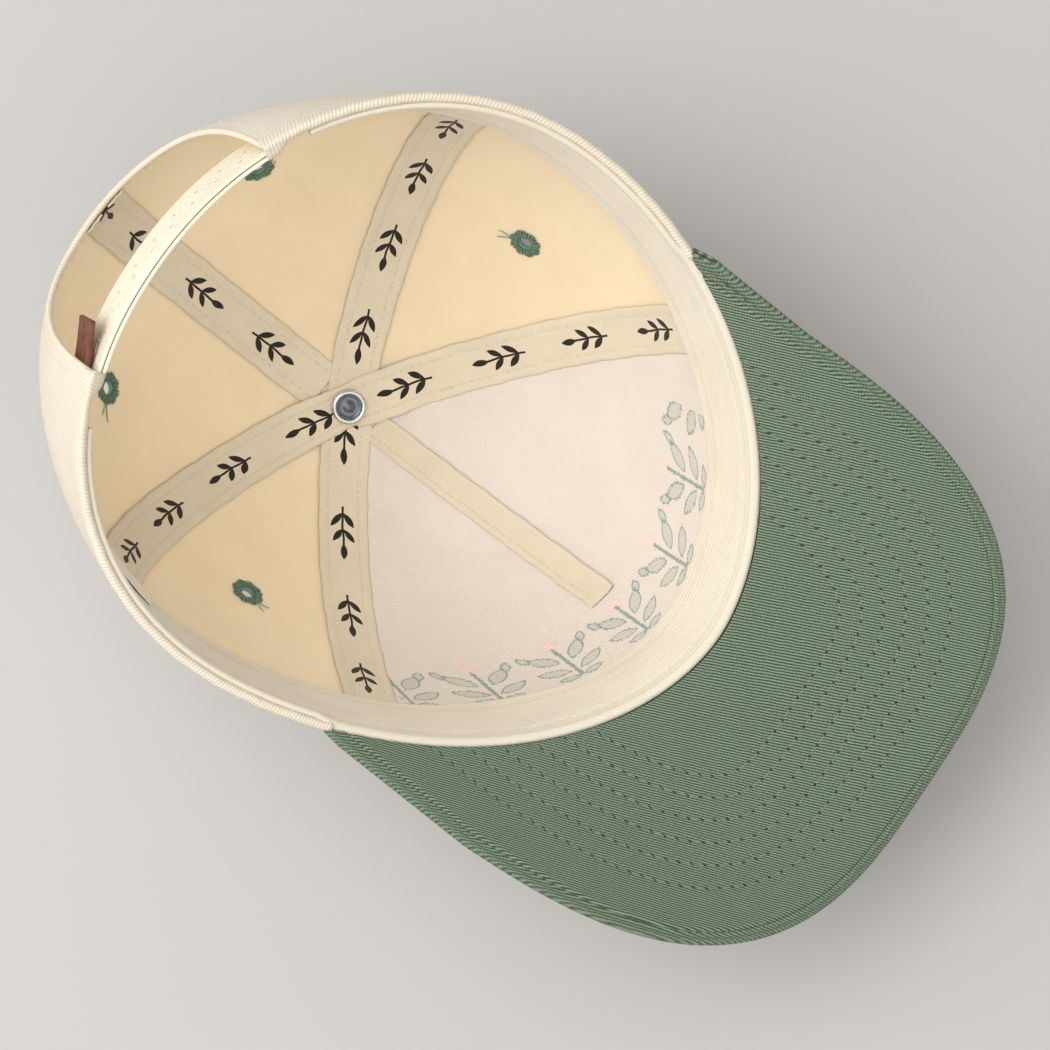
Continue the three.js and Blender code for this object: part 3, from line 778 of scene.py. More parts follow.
def make_weave():
    """A plain weave of even threads."""
    inputs = [("Marks", "NodeSocketVector"), ("Pitch", "NodeSocketFloat")]
    group, finish, given, result = make_group("plain weave", inputs, ["Height"])
    turns = [axis / given["Pitch"] * (2 * math.pi) for axis in finish.parts(given["Marks"])]
    height = finish.math("SINE", turns[0]) * finish.math("SINE", turns[1])
    finish.feed(result["Height"], height * 0.5 + 0.5)
    return group


def make_mottle():
    """Slow unevenness of tone over cloth, with fine fuzz."""
    inputs = [("Marks", "NodeSocketVector")]
    group, finish, given, result = make_group("cloth mottle", inputs, ["Tone", "Fuzz"])
    finish.feed(result["Tone"], finish.noise(given["Marks"], 0.06, 4))
    finish.feed(result["Fuzz"], finish.noise(given["Marks"], 1.9, 3))
    return group


TWILL = make_twill()
WEAVE = make_weave()
MOTTLE = make_mottle()


def new_finish(name, roughness, sheen=0.0, specular=0.5, metallic=0.0):
    material = bpy.data.materials.new(name)
    material.use_nodes = True
    finish = Finish(material.node_tree)
    finish.material = material
    finish.shader = material.node_tree.nodes["Principled BSDF"]
    finish.shader.inputs["Roughness"].default_value = roughness
    finish.shader.inputs["Sheen Weight"].default_value = sheen
    finish.shader.inputs["Sheen Roughness"].default_value = 0.5
    finish.shader.inputs["Specular IOR Level"].default_value = specular
    finish.shader.inputs["Metallic"].default_value = metallic
    return finish


def let_light_in(finish, weight, colour, reach):
    """The share of light that goes into the surface, its colours, and how many metres deep."""
    finish.shader.inputs["Subsurface Weight"].default_value = weight
    finish.shader.inputs["Subsurface Radius"].default_value = colour
    finish.shader.inputs["Subsurface Scale"].default_value = reach


def tinted(finish, colour, marks, depth):
    """A colour made a little darker and lighter over the cloth, and the cloth's fuzz."""
    tone, fuzz = finish.use(MOTTLE, Marks=marks)
    dark = scaled(colour, 1 - depth)
    light = scaled(colour, 1 + depth / 2)
    return finish.blend(tone.spread(0.3, 0.7), dark, light), fuzz


def make_cream_twill(name, colour, slant, contrast, relief=0.16, embroidered=False, glow=0.0):
    """Glow is the share of light that comes through the cloth from its far side."""
    finish = new_finish(name, 0.85, sheen=0.15, specular=0.25)
    if glow:
        let_light_in(finish, glow, (1, 1, 1), 0.003)
    marks = finish.marks()
    ridge, thread = finish.use(TWILL, Marks=marks, Slant=math.radians(slant), Pitch=1.0)
    base, fuzz = tinted(finish, colour, marks, 0.05)
    # Off the ridges the cloth is darker by contrast: painted shade in the grooves between the ribs.
    tone = finish.blend(ridge.fade(0, 0.75) * 0.8, base, scaled(colour, 1 - contrast))
    height = thread * 0.25 + ridge + fuzz * 0.5
    if embroidered:
        tone, raised = add_sprigs(finish, marks, tone, GARLAND_GREEN, GARLAND_PINK, 0)
        height = height + raised * 3
    return finish.done(tone, height, relief)


# The garland's leaves: centre, turn, length and width
GARLAND_LEAVES = [
    ((4.8, 4.6), 0.9, 10, 4.4),
    ((5.4, -3.2), 0.5, 9.6, 4.2),
    ((8.6, 8.6), 1.2, 5.4, 2.8),
    ((3.4, -9), 0.2, 6.4, 3),
]
GARLAND_HEIGHT = 45
GARLAND_REACH = 66
GARLAND_HALF_STEP = 11


def add_sprigs(finish, marks, tone, green, pink, reverse):
    """A garland above the brow. Its reverse shows thready outlines with faint hatching inside."""
    across, along = finish.parts(marks)
    there = abs(across + 2).below(GARLAND_REACH)
    scribble = (finish.noise(marks, 1.3, 3) * 2 - 1) * reverse
    height = along - GARLAND_HEIGHT + scribble
    mirror = abs(across.wrap(GARLAND_HALF_STEP) + scribble)
    mask = mirror.below(0.5) * abs(height).below(9.5)
    for centre, turn, length, width in GARLAND_LEAVES:
        leaf = finish.leaf(mirror, height, centre, turn, length, width)
        if reverse:
            inside = finish.leaf(mirror, height, centre, turn, length - 1.3, width - 0.8)
            leaf = leaf - inside * ((across + along).wave(0.9) * 0.45 + 0.5)
        mask = mask.most(leaf)
    mask = mask * there
    petal = finish.leaf(mirror, height, (0, 10.5), math.pi / 2, 7, 4.6) * there
    tone = finish.blend(petal * 0.6, tone, pink)
    tone = finish.blend(mask * 0.85, tone, green)
    return tone, mask.most(petal)


def make_lining_net():
    finish = new_finish("lining net", 0.8, sheen=0.1, specular=0.3)
    marks = finish.marks()
    net, = finish.use(WEAVE, Marks=finish.turned(marks, math.radians(38)), Pitch=1.3)
    base, fuzz = tinted(finish, NET, marks, 0.03)
    tone = finish.blend(net * 0.16, base, NET_SHADE)
    tone, raised = add_sprigs(finish, marks, tone, REVERSE_GREEN, REVERSE_PINK, 1)
    return finish.done(tone, net + raised * 1.5 + fuzz * 0.4, 0.12)


def make_seam_tape(name, printed):
    finish = new_finish(name, 0.8, sheen=0.1, specular=0.3)
    marks = finish.marks()
    weave, = finish.use(WEAVE, Marks=marks, Pitch=0.7)
    base, fuzz = tinted(finish, TAPE, marks, 0.05)
    tone = finish.blend(weave * 0.12, base, TAPE_SHADE)
    if printed:
        tone = finish.blend(print_sprig(finish, *finish.parts(marks)), tone, PRINT)
    return finish.done(tone, weave + fuzz * 0.6, 0.08)


def print_sprig(finish, across, along):
    """A small printed twig with five leaves, repeated along the tape."""
    step = along.wrap(15.5)
    mirror = abs(across)
    mask = abs(step + 1.5).below(6.5) * mirror.below(0.35)
    leaves = [((-3.6, 1.9), 0.65, 5.6, 2), ((1.6, 1.8), 0.65, 5.2, 1.9), ((7.2, 0), 0, 5.6, 2.1)]
    for centre, turn, length, width in leaves:
        mask = mask.most(finish.leaf(step, mirror, centre, turn, length, width))
    return mask


def make_band_cotton():
    finish = new_finish("band cotton", 0.85, sheen=0.2, specular=0.25)
    marks = finish.marks()
    along = finish.parts(marks)[1]
    weave, = finish.use(WEAVE, Marks=marks, Pitch=0.8)
    base, fuzz = tinted(finish, BAND, marks, 0.05)
    rows = along.wave(1.7)
    streaks = finish.add("ShaderNodeMapping")
    streaks.inputs["Scale"].default_value = (0.25, 1, 1)
    finish.feed(streaks.inputs["Vector"], marks)
    fray = finish.noise(streaks.outputs[0], 1.1, 3)
    elastic = along.spread(14, 22, 0.1, 0.3)
    tone = finish.blend(rows * elastic * fray.spread(0.3, 0.7, 0.4, 1.3), base, BAND_SHADE)
    # The band is darker towards its folded lower edge: painted shade that holds down the light falling on
    # the fold.
    tone = finish.blend(along.spread(0.8, 4.5, 0.9, 0), tone, BAND_FOLD_SHADE)
    return finish.done(tone, rows * 1.2 + weave * 0.5 + fuzz, 0.12)


def make_sage_twill(name, quilted):
    """Green twill; on the peak it shows rows of quilting by their distance from the edge."""
    finish = new_finish(name, 0.82, sheen=0.15, specular=0.3)
    marks = finish.marks()
    ridge, thread = finish.use(TWILL, Marks=marks, Slant=RIB_SLANT, Pitch=RIB_PITCH)
    share = thread * 0.25 + ridge * 0.75
    # The twill's grooves take a much darker green than its ridges: painted shade between the ribs.
    dark, fuzz = tinted(finish, SAGE_GROOVE_SHADE, marks, 0.09)
    if quilted:
        travelled, inward = finish.parts(finish.marks("seam"))
        share = (share - 0.5) * inward.spread(0.8, 3.2, 0.55, 1) + 0.5
    share = share + (fuzz * 0.7 - 0.35)
    tone = finish.blend(share.spread(0.2, 0.85), dark, SAGE_RIDGE)
    height = share + fuzz * 0.4
    if quilted:
        tone, height = add_quilting(finish, travelled, inward, tone, height)
    return finish.done(tone, height, 0.16)


def add_quilting(finish, travelled, inward, tone, height):
    """Rows of stitches with their needle holes painted dark as shade, and two lines of painted shade beside
    the edge.
    """
    row = inward - QUILT_FIRST
    there = abs(row - QUILT_STEP * (QUILT_ROWS - 1) / 2).below(QUILT_STEP * QUILT_ROWS / 2)
    off_row = abs(row.wrap(QUILT_STEP / 2))
    slid = finish.math("ROUND", row / QUILT_STEP) * QUILT_SHIFT + travelled
    off_hole = abs(slid.wrap(QUILT_PITCH / 2))
    hole = off_row.distance(off_hole).fade(0.25, 0.55) * there
    thread = off_row.fade(0.1, 0.32) * there
    tone = finish.blend(thread * 0.4, tone, QUILT_THREAD)
    # Needle holes painted nearly black: painted shade in the holes.
    tone = finish.blend(hole * 0.95, tone, NEEDLE_HOLE_SHADE)
    # Dark lines in the lip's seam and in the edge groove: painted shade.
    lip_line = abs(inward - LIP_ROW).fade(0.12, 0.4) * 0.3
    edge_line = abs(inward - EDGE_ROW).fade(0.15, 0.45) * 0.75
    tone = finish.blend(lip_line.most(edge_line), tone, EDGE_GROOVE_SHADE)
    return tone, height + thread * 0.6 - hole * 2.5


def make_thread(name, colour):
    finish = new_finish(name, 0.6, sheen=0.2, specular=0.35)
    fuzz = grain(finish, 2600, 2)
    return finish.done(finish.blend(fuzz.spread(0.35, 0.65), scaled(colour, 0.7), colour), fuzz, 0.1)


def grain(finish, scale, detail):
    """Noise in the row's metres."""
    return finish.noise(finish.add("ShaderNodeTexCoord").outputs["Object"], scale, detail)


def make_cream_plastic(name, dotted):
    """The strap's outer face has two rows of small dimples, set off from each other."""
    finish = new_finish(name, 0.32, specular=0.5)
    let_light_in(finish, 0.25, (1, 0.7, 0.4), 0.002)
    rough = grain(finish, 1500, 2)
    tone = finish.blend(grain(finish, 90, 3), PLASTIC_DARK, PLASTIC_LIGHT)
    height = rough * 0.2
    if dotted:
        across, along = finish.parts(finish.marks())
        for shift, row in ((0, 0.36), (3.4, 0.62)):
            aside = (across + shift).wrap(5)
            dot = aside.distance(along - row * STRAP_HEIGHT).fade(0.5, 0.85)
            tone = finish.blend(dot * 0.6, tone, DIMPLE_SHADE)
            height = height - dot
    finish.feed(finish.shader.inputs["Roughness"], rough.spread(0.3, 0.7, 0.24, 0.42))
    return finish.done(tone, height, 0.15)


def make_brown_leather():
    finish = new_finish("brown leather", 0.55, specular=0.4)
    marks = finish.marks()
    across, along = finish.parts(marks)
    cells = finish.add("ShaderNodeTexVoronoi")
    cells.inputs["Scale"].default_value = 1.3
    finish.feed(cells.inputs["Vector"], marks)
    patches = finish.noise(marks, 0.35, 4).spread(0.3, 0.7)
    hole = abs(across.wrap(1.6)).distance(along).fade(0.35, 0.7)
    # The small holes are painted nearly black: painted shade in the holes.
    tone = finish.blend(hole, finish.blend(patches, LEATHER_DARK, LEATHER_LIGHT), LEATHER_HOLE_SHADE)
    height = Value(finish, cells.outputs["Distance"]) * -0.6 - hole * 3
    return finish.done(tone, height, 0.12)


def make_steel(name, roughness, scratches, dark, light, relief):
    """Scratches are their scale and detail; roughness is its middle, least and most."""
    finish = new_finish(name, roughness[0], metallic=1)
    lines = grain(finish, *scratches)
    finish.feed(finish.shader.inputs["Roughness"], lines.spread(0.3, 0.7, *roughness[1:]))
    return finish.done(finish.blend(lines, dark, light), lines if relief else None, relief)


def make_label_white():
    finish = new_finish("label satin", 0.55, sheen=0.1, specular=0.4)
    marks = finish.marks()
    weave, = finish.use(WEAVE, Marks=marks, Pitch=0.45)
    base, fuzz = tinted(finish, LABEL, marks, 0.04)
    return finish.done(base, weave + fuzz, 0.05)


def make_floor():
    return new_finish("studio floor", 0.9, specular=0.1).done(FLOOR)


CREAM_OUTSIDE = make_cream_twill("cream twill", CREAM, -35, 0.12)
CREAM_INSIDE = make_cream_twill("cream twill reverse", CREAM_LIT_THROUGH, 35, 0.03, relief=0.02, glow=0.4)
CREAM_FRONT = make_cream_twill("cream twill embroidered", CREAM, -35, 0.12, embroidered=True)
CREAM_ROLL = make_cream_twill("cream twill on the fold", CREAM_FOLDED, 80, 0.16, relief=0.12)
LINING_NET = make_lining_net()
SEAM_TAPE = make_seam_tape("seam tape", True)
PLAIN_TAPE = make_seam_tape("plain tape", False)
BAND_COTTON = make_band_cotton()
PEAK_TWILL = make_sage_twill("sage twill quilted", True)
BUTTON_TWILL = make_sage_twill("sage twill", False)
SAGE_THREAD = make_thread("sage thread", THREAD_GREEN)
DARK_SAGE_THREAD = make_thread("dark sage thread", THREAD_DARK_GREEN)
CREAM_THREAD = make_thread("cream thread", THREAD_CREAM)
CREAM_PLASTIC = make_cream_plastic("cream plastic", False)
STRAP_PLASTIC = make_cream_plastic("cream strap plastic", True)
BROWN_LEATHER = make_brown_leather()
RIVET_STEEL = make_steel("rivet steel", (0.22, 0.12, 0.35), (700, 5), STEEL_DARK, STEEL_LIGHT, 0.02)
RIVET_CUP = make_steel("rivet cup", (0.35, 0.2, 0.45), (500, 4), CUP_DARK, CUP_LIGHT, 0)
LABEL_WHITE = make_label_white()


# Crown panels

def panel_angle(panel, across):
    """Columns gather where the opening's side rises steeply."""
    first = math.radians(panel["from"])
    last = math.radians(panel["to"])
    if panel["name"] == "back_panel_right":
        steep = float(ARCH_ANGLES[0])
        return np.interp(across, [0, 0.42, 0.8, 1], [first, steep - 1e-4, steep + 0.09, last])
    if panel["name"] == "back_panel_left":
        steep = float(ARCH_ANGLES[-1])
        return np.interp(across, [0, 0.2, 0.58, 1], [first, steep - 0.09, steep + 1e-4, last])
    return first + (last - first) * across


def foot_height(panel, angle):
    """Where a panel's lower edge is: just above the rim's fold, or at the opening's edge."""
    foot = rim_height(angle) + PANEL_FOOT
    if panel["name"].startswith("back"):
        order = np.argsort(ARCH_ANGLES)
        arch = np.interp(angle, ARCH_ANGLES[order], ARCH_HEIGHTS[order], left=0, right=0)
        foot = np.maximum(foot, arch)
    return foot


def panel_rise(panel, angle, along):
    low = rise_at(angle, foot_height(panel, angle))
    return low + (PANEL_TOP - low) * along


def panel_point(panel):
    width = math.radians(panel["to"] - panel["from"])

    def point(across, along):
        angle = panel_angle(panel, across)
        rise = panel_rise(panel, angle, along)
        edge = np.minimum(across, 1 - across) * width * plan_radius(angle, rise)
        return crown_point(angle, rise, -SEAM_TUCK * (1 - smooth(edge, 0, 1.6)))
    return point


def spine_lengths(angle, count=200):
    """Rises from the rim to the top, and how long the crown's cloth is up to each."""
    rises = np.linspace(0, 1, count)
    return rises, travel(crown_middle(np.full(count, angle), rises))


def panel_marks(panel):
    centre = math.radians((panel["from"] + panel["to"]) / 2)
    middle = math.radians(DART) if panel["name"] == "front_panel" else centre
    rises, lengths = spine_lengths(centre)

    def marks(across, along):
        angle = panel_angle(panel, across)
        rise = panel_rise(panel, angle, along)
        return flat_marks((angle - middle) * plan_radius(angle, rise), np.interp(rise, rises, lengths))
    return marks


def make_panel(panel):
    point = panel_point(panel)
    bm = bmesh.new()
    lay_grid(bm, panel["columns"], PANEL_ROWS, point, panel_marks(panel))
    for eyelet in EYELETS:
        spot = Vector(place(eyelet_place(eyelet)[0]))
        holed = [f for f in bm.faces if (f.calc_center_median() - spot).length < EYELET_CUT / 1000]
        bmesh.ops.delete(bm, geom=holed, context="FACES")
    outside = CREAM_FRONT if panel["name"] == "front_panel" else CREAM_OUTSIDE
    piece = new_piece("cloth_" + panel["name"], bm, [CREAM_INSIDE, outside])
    thicken(piece, CLOTH, outer_material=1)
    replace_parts(piece, panel["name"])
    declare_cloth(point)


def eyelet_place(eyelet):
    angle = np.array(math.radians(eyelet["angle"]))
    rise = rise_at(angle, np.array(float(eyelet["height"])))
    return crown_point(angle, rise, 0.0), crown_normal(angle, rise)


# Seams' topstitching outside, and the tapes inside with the same stitches

def rise_above(degrees, height):
    """The rise of a single point, from its angle in degrees and its height."""
    return float(rise_at(np.array(math.radians(degrees)), np.array(float(height))))


def seam_line(angle, offset, first, last, layer, count=240):
    """A line beside a seam, at an even distance from it."""
    rise = np.linspace(first, last, count)
    middle = math.radians(angle)
    radius = np.maximum(plan_radius(np.full(count, middle), rise), 0.5)
    turn = middle + np.arctan2(offset, radius)
    height = 1 - np.hypot(1 - rise, offset / DOME_SCALE)
    return place(crown_point(turn, height, layer))


def make_topstitching():
    bm = bmesh.new()
    arch_top = rise_above(SEAMS["back"], ARCH_HEIGHT + 2)
    for name, angle in SEAMS.items():
        first = arch_top if name == "back" else STITCHED_FROM
        for offset in (-TOPSTITCH, TOPSTITCH):
            line = seam_line(angle, offset, first, STITCHED_TO, SEAM_FACE)
            sew(bm, line, seam_line(angle, offset, first, STITCHED_TO, ABOVE), SEAM_STITCH)
    new_piece("seam_topstitching", bm, [CREAM_THREAD])


def tape_point(legs, width, layer, lifted=0.0):
    """legs are pairs of angle and rise, from end to end over the top; one leg stops short of it."""
    def point(across, along):
        if len(legs) == 2:
            (up, low_up), (down, low_down) = legs
            signed = along * 2 - 1
            rising = signed < 0
            away = np.abs(signed) * np.where(rising, 1 - low_up, 1 - low_down)
            middle = np.where(rising, math.radians(up), math.radians(down))
            side = np.where(rising, -1.0, 1.0)
        else:
            (angle, low), = legs
            away = (1 - low) + (TAPE_HIDDEN_END - (1 - low)) * along
            middle = np.full_like(along, math.radians(angle))
            side = np.ones_like(along)
        wobble = 0.12 * np.sin(away * 61 + middle) + 0.07 * np.sin(away * 137)
        aside = side * ((across - 0.5) * width + wobble)
        radius = plan_radius(middle, 1 - away)
        turn = middle + np.arctan2(aside, radius)
        rise = 1 - np.hypot(away, aside / DOME_SCALE)
        out = np.abs(across - 0.5) * width
        droop = 0.3 * smooth(out / width * 2, 0.84, 1.0)
        groove = 0.16 * np.exp(-((out - TOPSTITCH) / 0.6) ** 2)
        lift = lifted * smooth(across, 0.72, 1.0)
        return crown_point(turn, rise, layer(away) + droop * (1 - lifted) + groove - lift)
    return point


def tape_marks(point, width):
    steps = np.linspace(0, 1, 400)
    lengths = travel(point(np.full(400, 0.5), steps))

    def marks(across, along):
        return flat_marks((across - 0.5) * width, np.interp(along, steps, lengths))
    return marks


def tape_layer(layer, change, settled):
    """A tape's layer, with its change near the top, where the tapes cross."""
    return lambda away: layer + change * (1 - smooth(away, 0.1, settled))


def make_tape(node, legs, width, layer, finish, stitch_offsets, lifted=0.0):
    point = tape_point(legs, width, layer, lifted)
    piece = lay_piece("cloth_" + node, finish, TAPE_SHEET, point, tape_marks(point, width))
    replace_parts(piece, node)
    declare_cloth(point)
    face = tape_point(legs, width, lambda away: layer(away) - TAPE_FACE, lifted)
    inward = tape_point(legs, width, lambda away: layer(away) - ABOVE, lifted)
    steps = np.linspace(0.01, 0.99, 300)
    bm = bmesh.new()
    for offset in stitch_offsets:
        across = np.full(300, 0.5 + offset / width)
        sew(bm, place(face(across, steps)), place(inward(across, steps)), TAPE_STITCH)
    new_piece("stitches_" + node, bm, [CREAM_THREAD])


def make_tapes():
    rows = (-TOPSTITCH, TOPSTITCH)
    over = [(SEAMS["front_right"], TAPE_LOW_END), (SEAMS["back_left"], TAPE_LOW_END)]
    under = [(SEAMS["back_right"], TAPE_LOW_END), (SEAMS["front_left"], TAPE_LOW_END)]
    back = [(SEAMS["back"], rise_above(SEAMS["back"], ARCH_HEIGHT + 0.8))]
    dart = [(DART, rise_above(DART, DART_END_HEIGHT))]
    over_layer = tape_layer(TAPE_LAYER, TAPE_CROSSING - TAPE_LAYER, 0.16)
    make_tape("tape_over_top", over, TAPE_WIDTH, over_layer, SEAM_TAPE, rows)
    make_tape("tape_under_top", under, TAPE_WIDTH, tape_layer(TAPE_LAYER, 0, 0.16), SEAM_TAPE, rows)
    make_tape("tape_back", back, TAPE_WIDTH, tape_layer(TAPE_LAYER, 0.35, 0.16), SEAM_TAPE, rows)
    dart_layer = tape_layer(DART_LAYER, 0.5, 0.2)
    make_tape("tape_dart", dart, DART_TAPE_WIDTH, dart_layer, PLAIN_TAPE, (DART_STITCH_ROW,), DART_LIFT)


# Front lining

def lining_rise(along):
    return 0.05 + 0.91 * along


def lining_point(across, along):
    rise = lining_rise(along)
    first = math.radians(PANELS[0]["from"])
    last = math.radians(PANELS[0]["to"])
    margin = 5.5 - 3.5 * smooth(rise, 0.85, 0.95)
    low = first + np.arcsin(np.clip(margin / plan_radius(first, rise), 0, 0.9))
    high = last - np.arcsin(np.clip(margin / plan_radius(last, rise), 0, 0.9))
    return crown_point(low + (high - low) * across, rise, LINING_LAYER)


def lining_marks(across, along):
    rises, lengths = spine_lengths(math.radians((PANELS[0]["from"] + PANELS[0]["to"]) / 2))
    spots = lining_point(across, along)
    rise = lining_rise(along)
    angle = np.arctan2(spots[..., 0] - TOP_X, spots[..., 1] - TOP_Y)
    aside = (angle - math.radians(DART)) * plan_radius(angle, rise)
    return flat_marks(aside, np.interp(rise, rises, lengths))


def make_lining():
    sheet = LINING_SHEET
    piece = lay_piece("cloth_front_lining", LINING_NET, sheet, lining_point, lining_marks)
    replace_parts(piece, "front_lining")
    declare_cloth(lining_point)


# Sweatband, its stitches and its label

# Rows of layer and height, from the fold at the rim up to the band's inner edge
BAND_UPPER = [(-2.5, 10), (-2.45, 14), (-2.45, 18), (-2.45, 22), (-2.45, 25), (-2.4, 28), (-2.3, 31)]
BAND_FRONT = [
    (0.6, 0.5), (0.35, -0.1), (-0.3, -0.4), (-1.1, -0.2),
    (-1.7, 0.6), (-2.05, 2.0), (-2.2, 4.4), (-2.5, 6.4), *BAND_UPPER,
]
BAND_BACK = [
    (-1.55, 1.2), (-1.6, 0.2), (-1.9, -0.3), (-2.4, -0.2),
    (-2.75, 0.8), (-2.75, 2.4), (-2.25, 4.4), (-2.6, 6.4), *BAND_UPPER,
]


def smooth_section(section, share):
    """A point of a cross-section, rounded between its corners."""
    section = np.array(section, float)
    steps = np.linspace(0, 1, len(section))
    fine = np.linspace(0, 1, 400)
    kernel = np.hanning(31)
    kernel /= kernel.sum()
    found = []
    for column in section.T:
        values = np.interp(fine, steps, column)
        padded = np.concatenate([np.full(15, values[0]), values, np.full(15, values[-1])])
        found.append(np.interp(share, fine, np.convolve(padded, kernel, "valid")))
    return found


def in_front(angle):
    """1 where the peak is, 0 at the sides and back."""
    degrees = np.degrees(angle)
    left = smooth(degrees, PEAK_CORNER_LEFT - 3, PEAK_CORNER_LEFT + 2)
    return left * (1 - smooth(degrees, PEAK_CORNER_RIGHT - 2, PEAK_CORNER_RIGHT + 3))


def band_angle(across):
    return np.radians(BAND_FROM + (BAND_TO - BAND_FROM) * across)


def band_point(across, along):
    angle = band_angle(across)
    front = in_front(angle)
    layer_front, height_front = smooth_section(BAND_FRONT, along)
    layer_back, height_back = smooth_section(BAND_BACK, along)
    layer = layer_back + (layer_front - layer_back) * front
    height = height_back + (height_front - height_back) * front
    ridges = 0.13 * np.sin(height * 2 * np.pi / 2.1) * smooth(height, 18, 24)
    wander = 0.25 * np.sin(angle * 9 + height * 0.1) * smooth(height, 6, 30)
    edge = 0.5 * np.sin(angle * 7) * smooth(height, 20, 31)
    return rim_point(angle, height + edge, layer + ridges + wander)


def band_marks(across, along):
    height = smooth_section(BAND_FRONT, along)[1]
    return flat_marks(band_angle(across) * 92, height)


def make_band():
    piece = lay_piece("cloth_sweatband", BAND_COTTON, BAND_SHEET, band_point, band_marks)
    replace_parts(piece, "sweatband")
    declare_cloth(band_point)
    bm = bmesh.new()
    angles = np.radians(np.linspace(BAND_FROM + 1, BAND_TO - 1, 900))
    line = place(rim_point(angles, BAND_STITCH_HEIGHT, BAND_FACE))
    sew(bm, line, place(rim_point(angles, BAND_STITCH_HEIGHT, BAND_FACE - ABOVE)), BAND_STITCH)
    new_piece("stitches_sweatband", bm, [CREAM_THREAD])


def label_point(across, along):
    angle = band_angle(LABEL_FROM + LABEL_SPAN * across)
    return rim_point(angle, LABEL_LOW + LABEL_HEIGHT * along, LABEL_LAYER - 0.15 * np.sin(np.pi * across))


def label_marks(across, along):
    return flat_marks(across * LABEL_LENGTH, along * LABEL_HEIGHT)


def make_label():
    sheet = LABEL_SHEET
    piece = lay_piece("cloth_size_label", LABEL_WHITE, sheet, label_point, label_marks)
    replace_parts(piece, "size_label")
    declare_cloth(label_point)


# The fold of the crown's cloth along the rim, and the hem of the opening

# Rows of layer and height, from the panel's outside round to its inside
ROLL_SECTION = [
    (0.05, 5.6), (0.4, 4.2), (0.72, 2.6), (0.98, 0.9), (1.0, -0.2),
    (0.55, -1.0), (-0.1, -1.25), (-0.75, -1.0), (-1.1, 0.1), (-1.1, 1.4),
]
TUCK_REACH = math.radians(4)
TUCK_DEPTH = 2.6


def make_roll(name, first, last, opening):
    """The fold widens inwards over the strap's end, at the opening."""
    def point(across, along):
        angle = first + (last - first) * across
        layer, height = smooth_section(ROLL_SECTION, along)
        tuck = 1 - smooth(np.abs(angle - opening), 0.3 * TUCK_REACH, TUCK_REACH)
        inside = TUCK_DEPTH * smooth(-layer, 0.2, 1.0) * tuck
        pucker = 0.1 * np.sin(angle * 60) * np.sin(angle * 23)
        return rim_point(angle, height + inside * smooth(along, 0.75, 1), layer - inside + pucker)

    def marks(across, along):
        return flat_marks(along * 12, (first + (last - first) * across) * 90)

    sheet = {"columns": int(abs(last - first) * 90), "rows": 30, "thickness": 0.6}
    piece = lay_piece(name, CREAM_ROLL, sheet, point, marks)
    declare_cloth(point)


def make_rim_folds():
    right_end = float(ARCH_ANGLES[0])
    left_end = float(ARCH_ANGLES[-1])
    make_roll("fold_rim_right", math.radians(PEAK_CORNER_RIGHT - 1), right_end + 0.012, right_end)
    make_roll("fold_rim_left", left_end - 0.012, math.radians(360 + PEAK_CORNER_LEFT + 1), left_end)


def make_arch_hem():
    angle, height = arch_path(0, math.pi, 150)
    bm = bmesh.new()
    sweep_tube(bm, place(crown_point(angle, rise_at(angle, height), 0.0)), ARCH_ROLL, 12)
    new_piece("fold_back_opening", bm, [CREAM_ROLL])
    bm = bmesh.new()
    angle, height = arch_path(0.12, math.pi - 0.12, 400, HEM_WIDTH)
    rise = rise_at(angle, height)
    for layer, away in ((HEM_FACE_OUTSIDE, ABOVE), (HEM_FACE_INSIDE, -ABOVE)):
        sew(bm, place(crown_point(angle, rise, layer)), place(crown_point(angle, rise, away)), HEM_STITCH)
    new_piece("stitches_back_opening", bm, [CREAM_THREAD])


# Peak

def peak_inner(across, out):
    """Where the peak meets the crown; across runs from -1 at the wearer's left to 1."""
    angle = np.radians(PEAK_CORNER_LEFT + (PEAK_CORNER_RIGHT - PEAK_CORNER_LEFT) * (across + 1) / 2)
    return crown_point(angle, 0.0, 0.9 + out)


def peak_outline(across):
    front = 1 - PEAK_SIDE_SHARE
    turn = np.clip(across / front, -1, 1) * np.pi / 2
    n = PEAK_SQUARENESS
    radius = (np.abs(np.cos(turn)) ** n + np.abs(np.sin(turn)) ** n) ** (-1 / n)
    x = PEAK_HALF_WIDTH * radius * np.sin(turn)
    y = PEAK_STATION + PEAK_REACH * radius * np.cos(turn)
    side = np.maximum(np.abs(across) - front, 0) / PEAK_SIDE_SHARE
    corner = peak_inner(np.where(across < 0, -PEAK_CORNER_SLANT, PEAK_CORNER_SLANT), PEAK_CORNER_WIDTH)
    return x + (corner[..., 0] - x) * side, y + (corner[..., 1] - y) * side


def peak_height(x, y):
    return FRONT_LIFT - PEAK_CURVE * x * x - PEAK_SLOPE * (y - REACH_FRONT)


def peak_middle(across, along):
    inner = peak_inner(across, PEAK_SEAM_GAP)
    outer_x, outer_y = peak_outline(across)
    x = inner[..., 0] + (outer_x - inner[..., 0]) * along
    y = inner[..., 1] + (outer_y - inner[..., 1]) * along
    at_rim = inner[..., 2] - peak_height(inner[..., 0], inner[..., 1])
    return np.stack([x, y, peak_height(x, y) + at_rim * (1 - along) ** 2], -1)


def peak_normal(across, along):
    ahead = np.minimum(along + 0.01, 1)
    aside = np.minimum(across + 0.01, 1)
    out = peak_middle(across, ahead) - peak_middle(across, ahead - 0.02)
    right = peak_middle(aside, along) - peak_middle(aside - 0.02, along)
    return unit(np.cross(right, out))


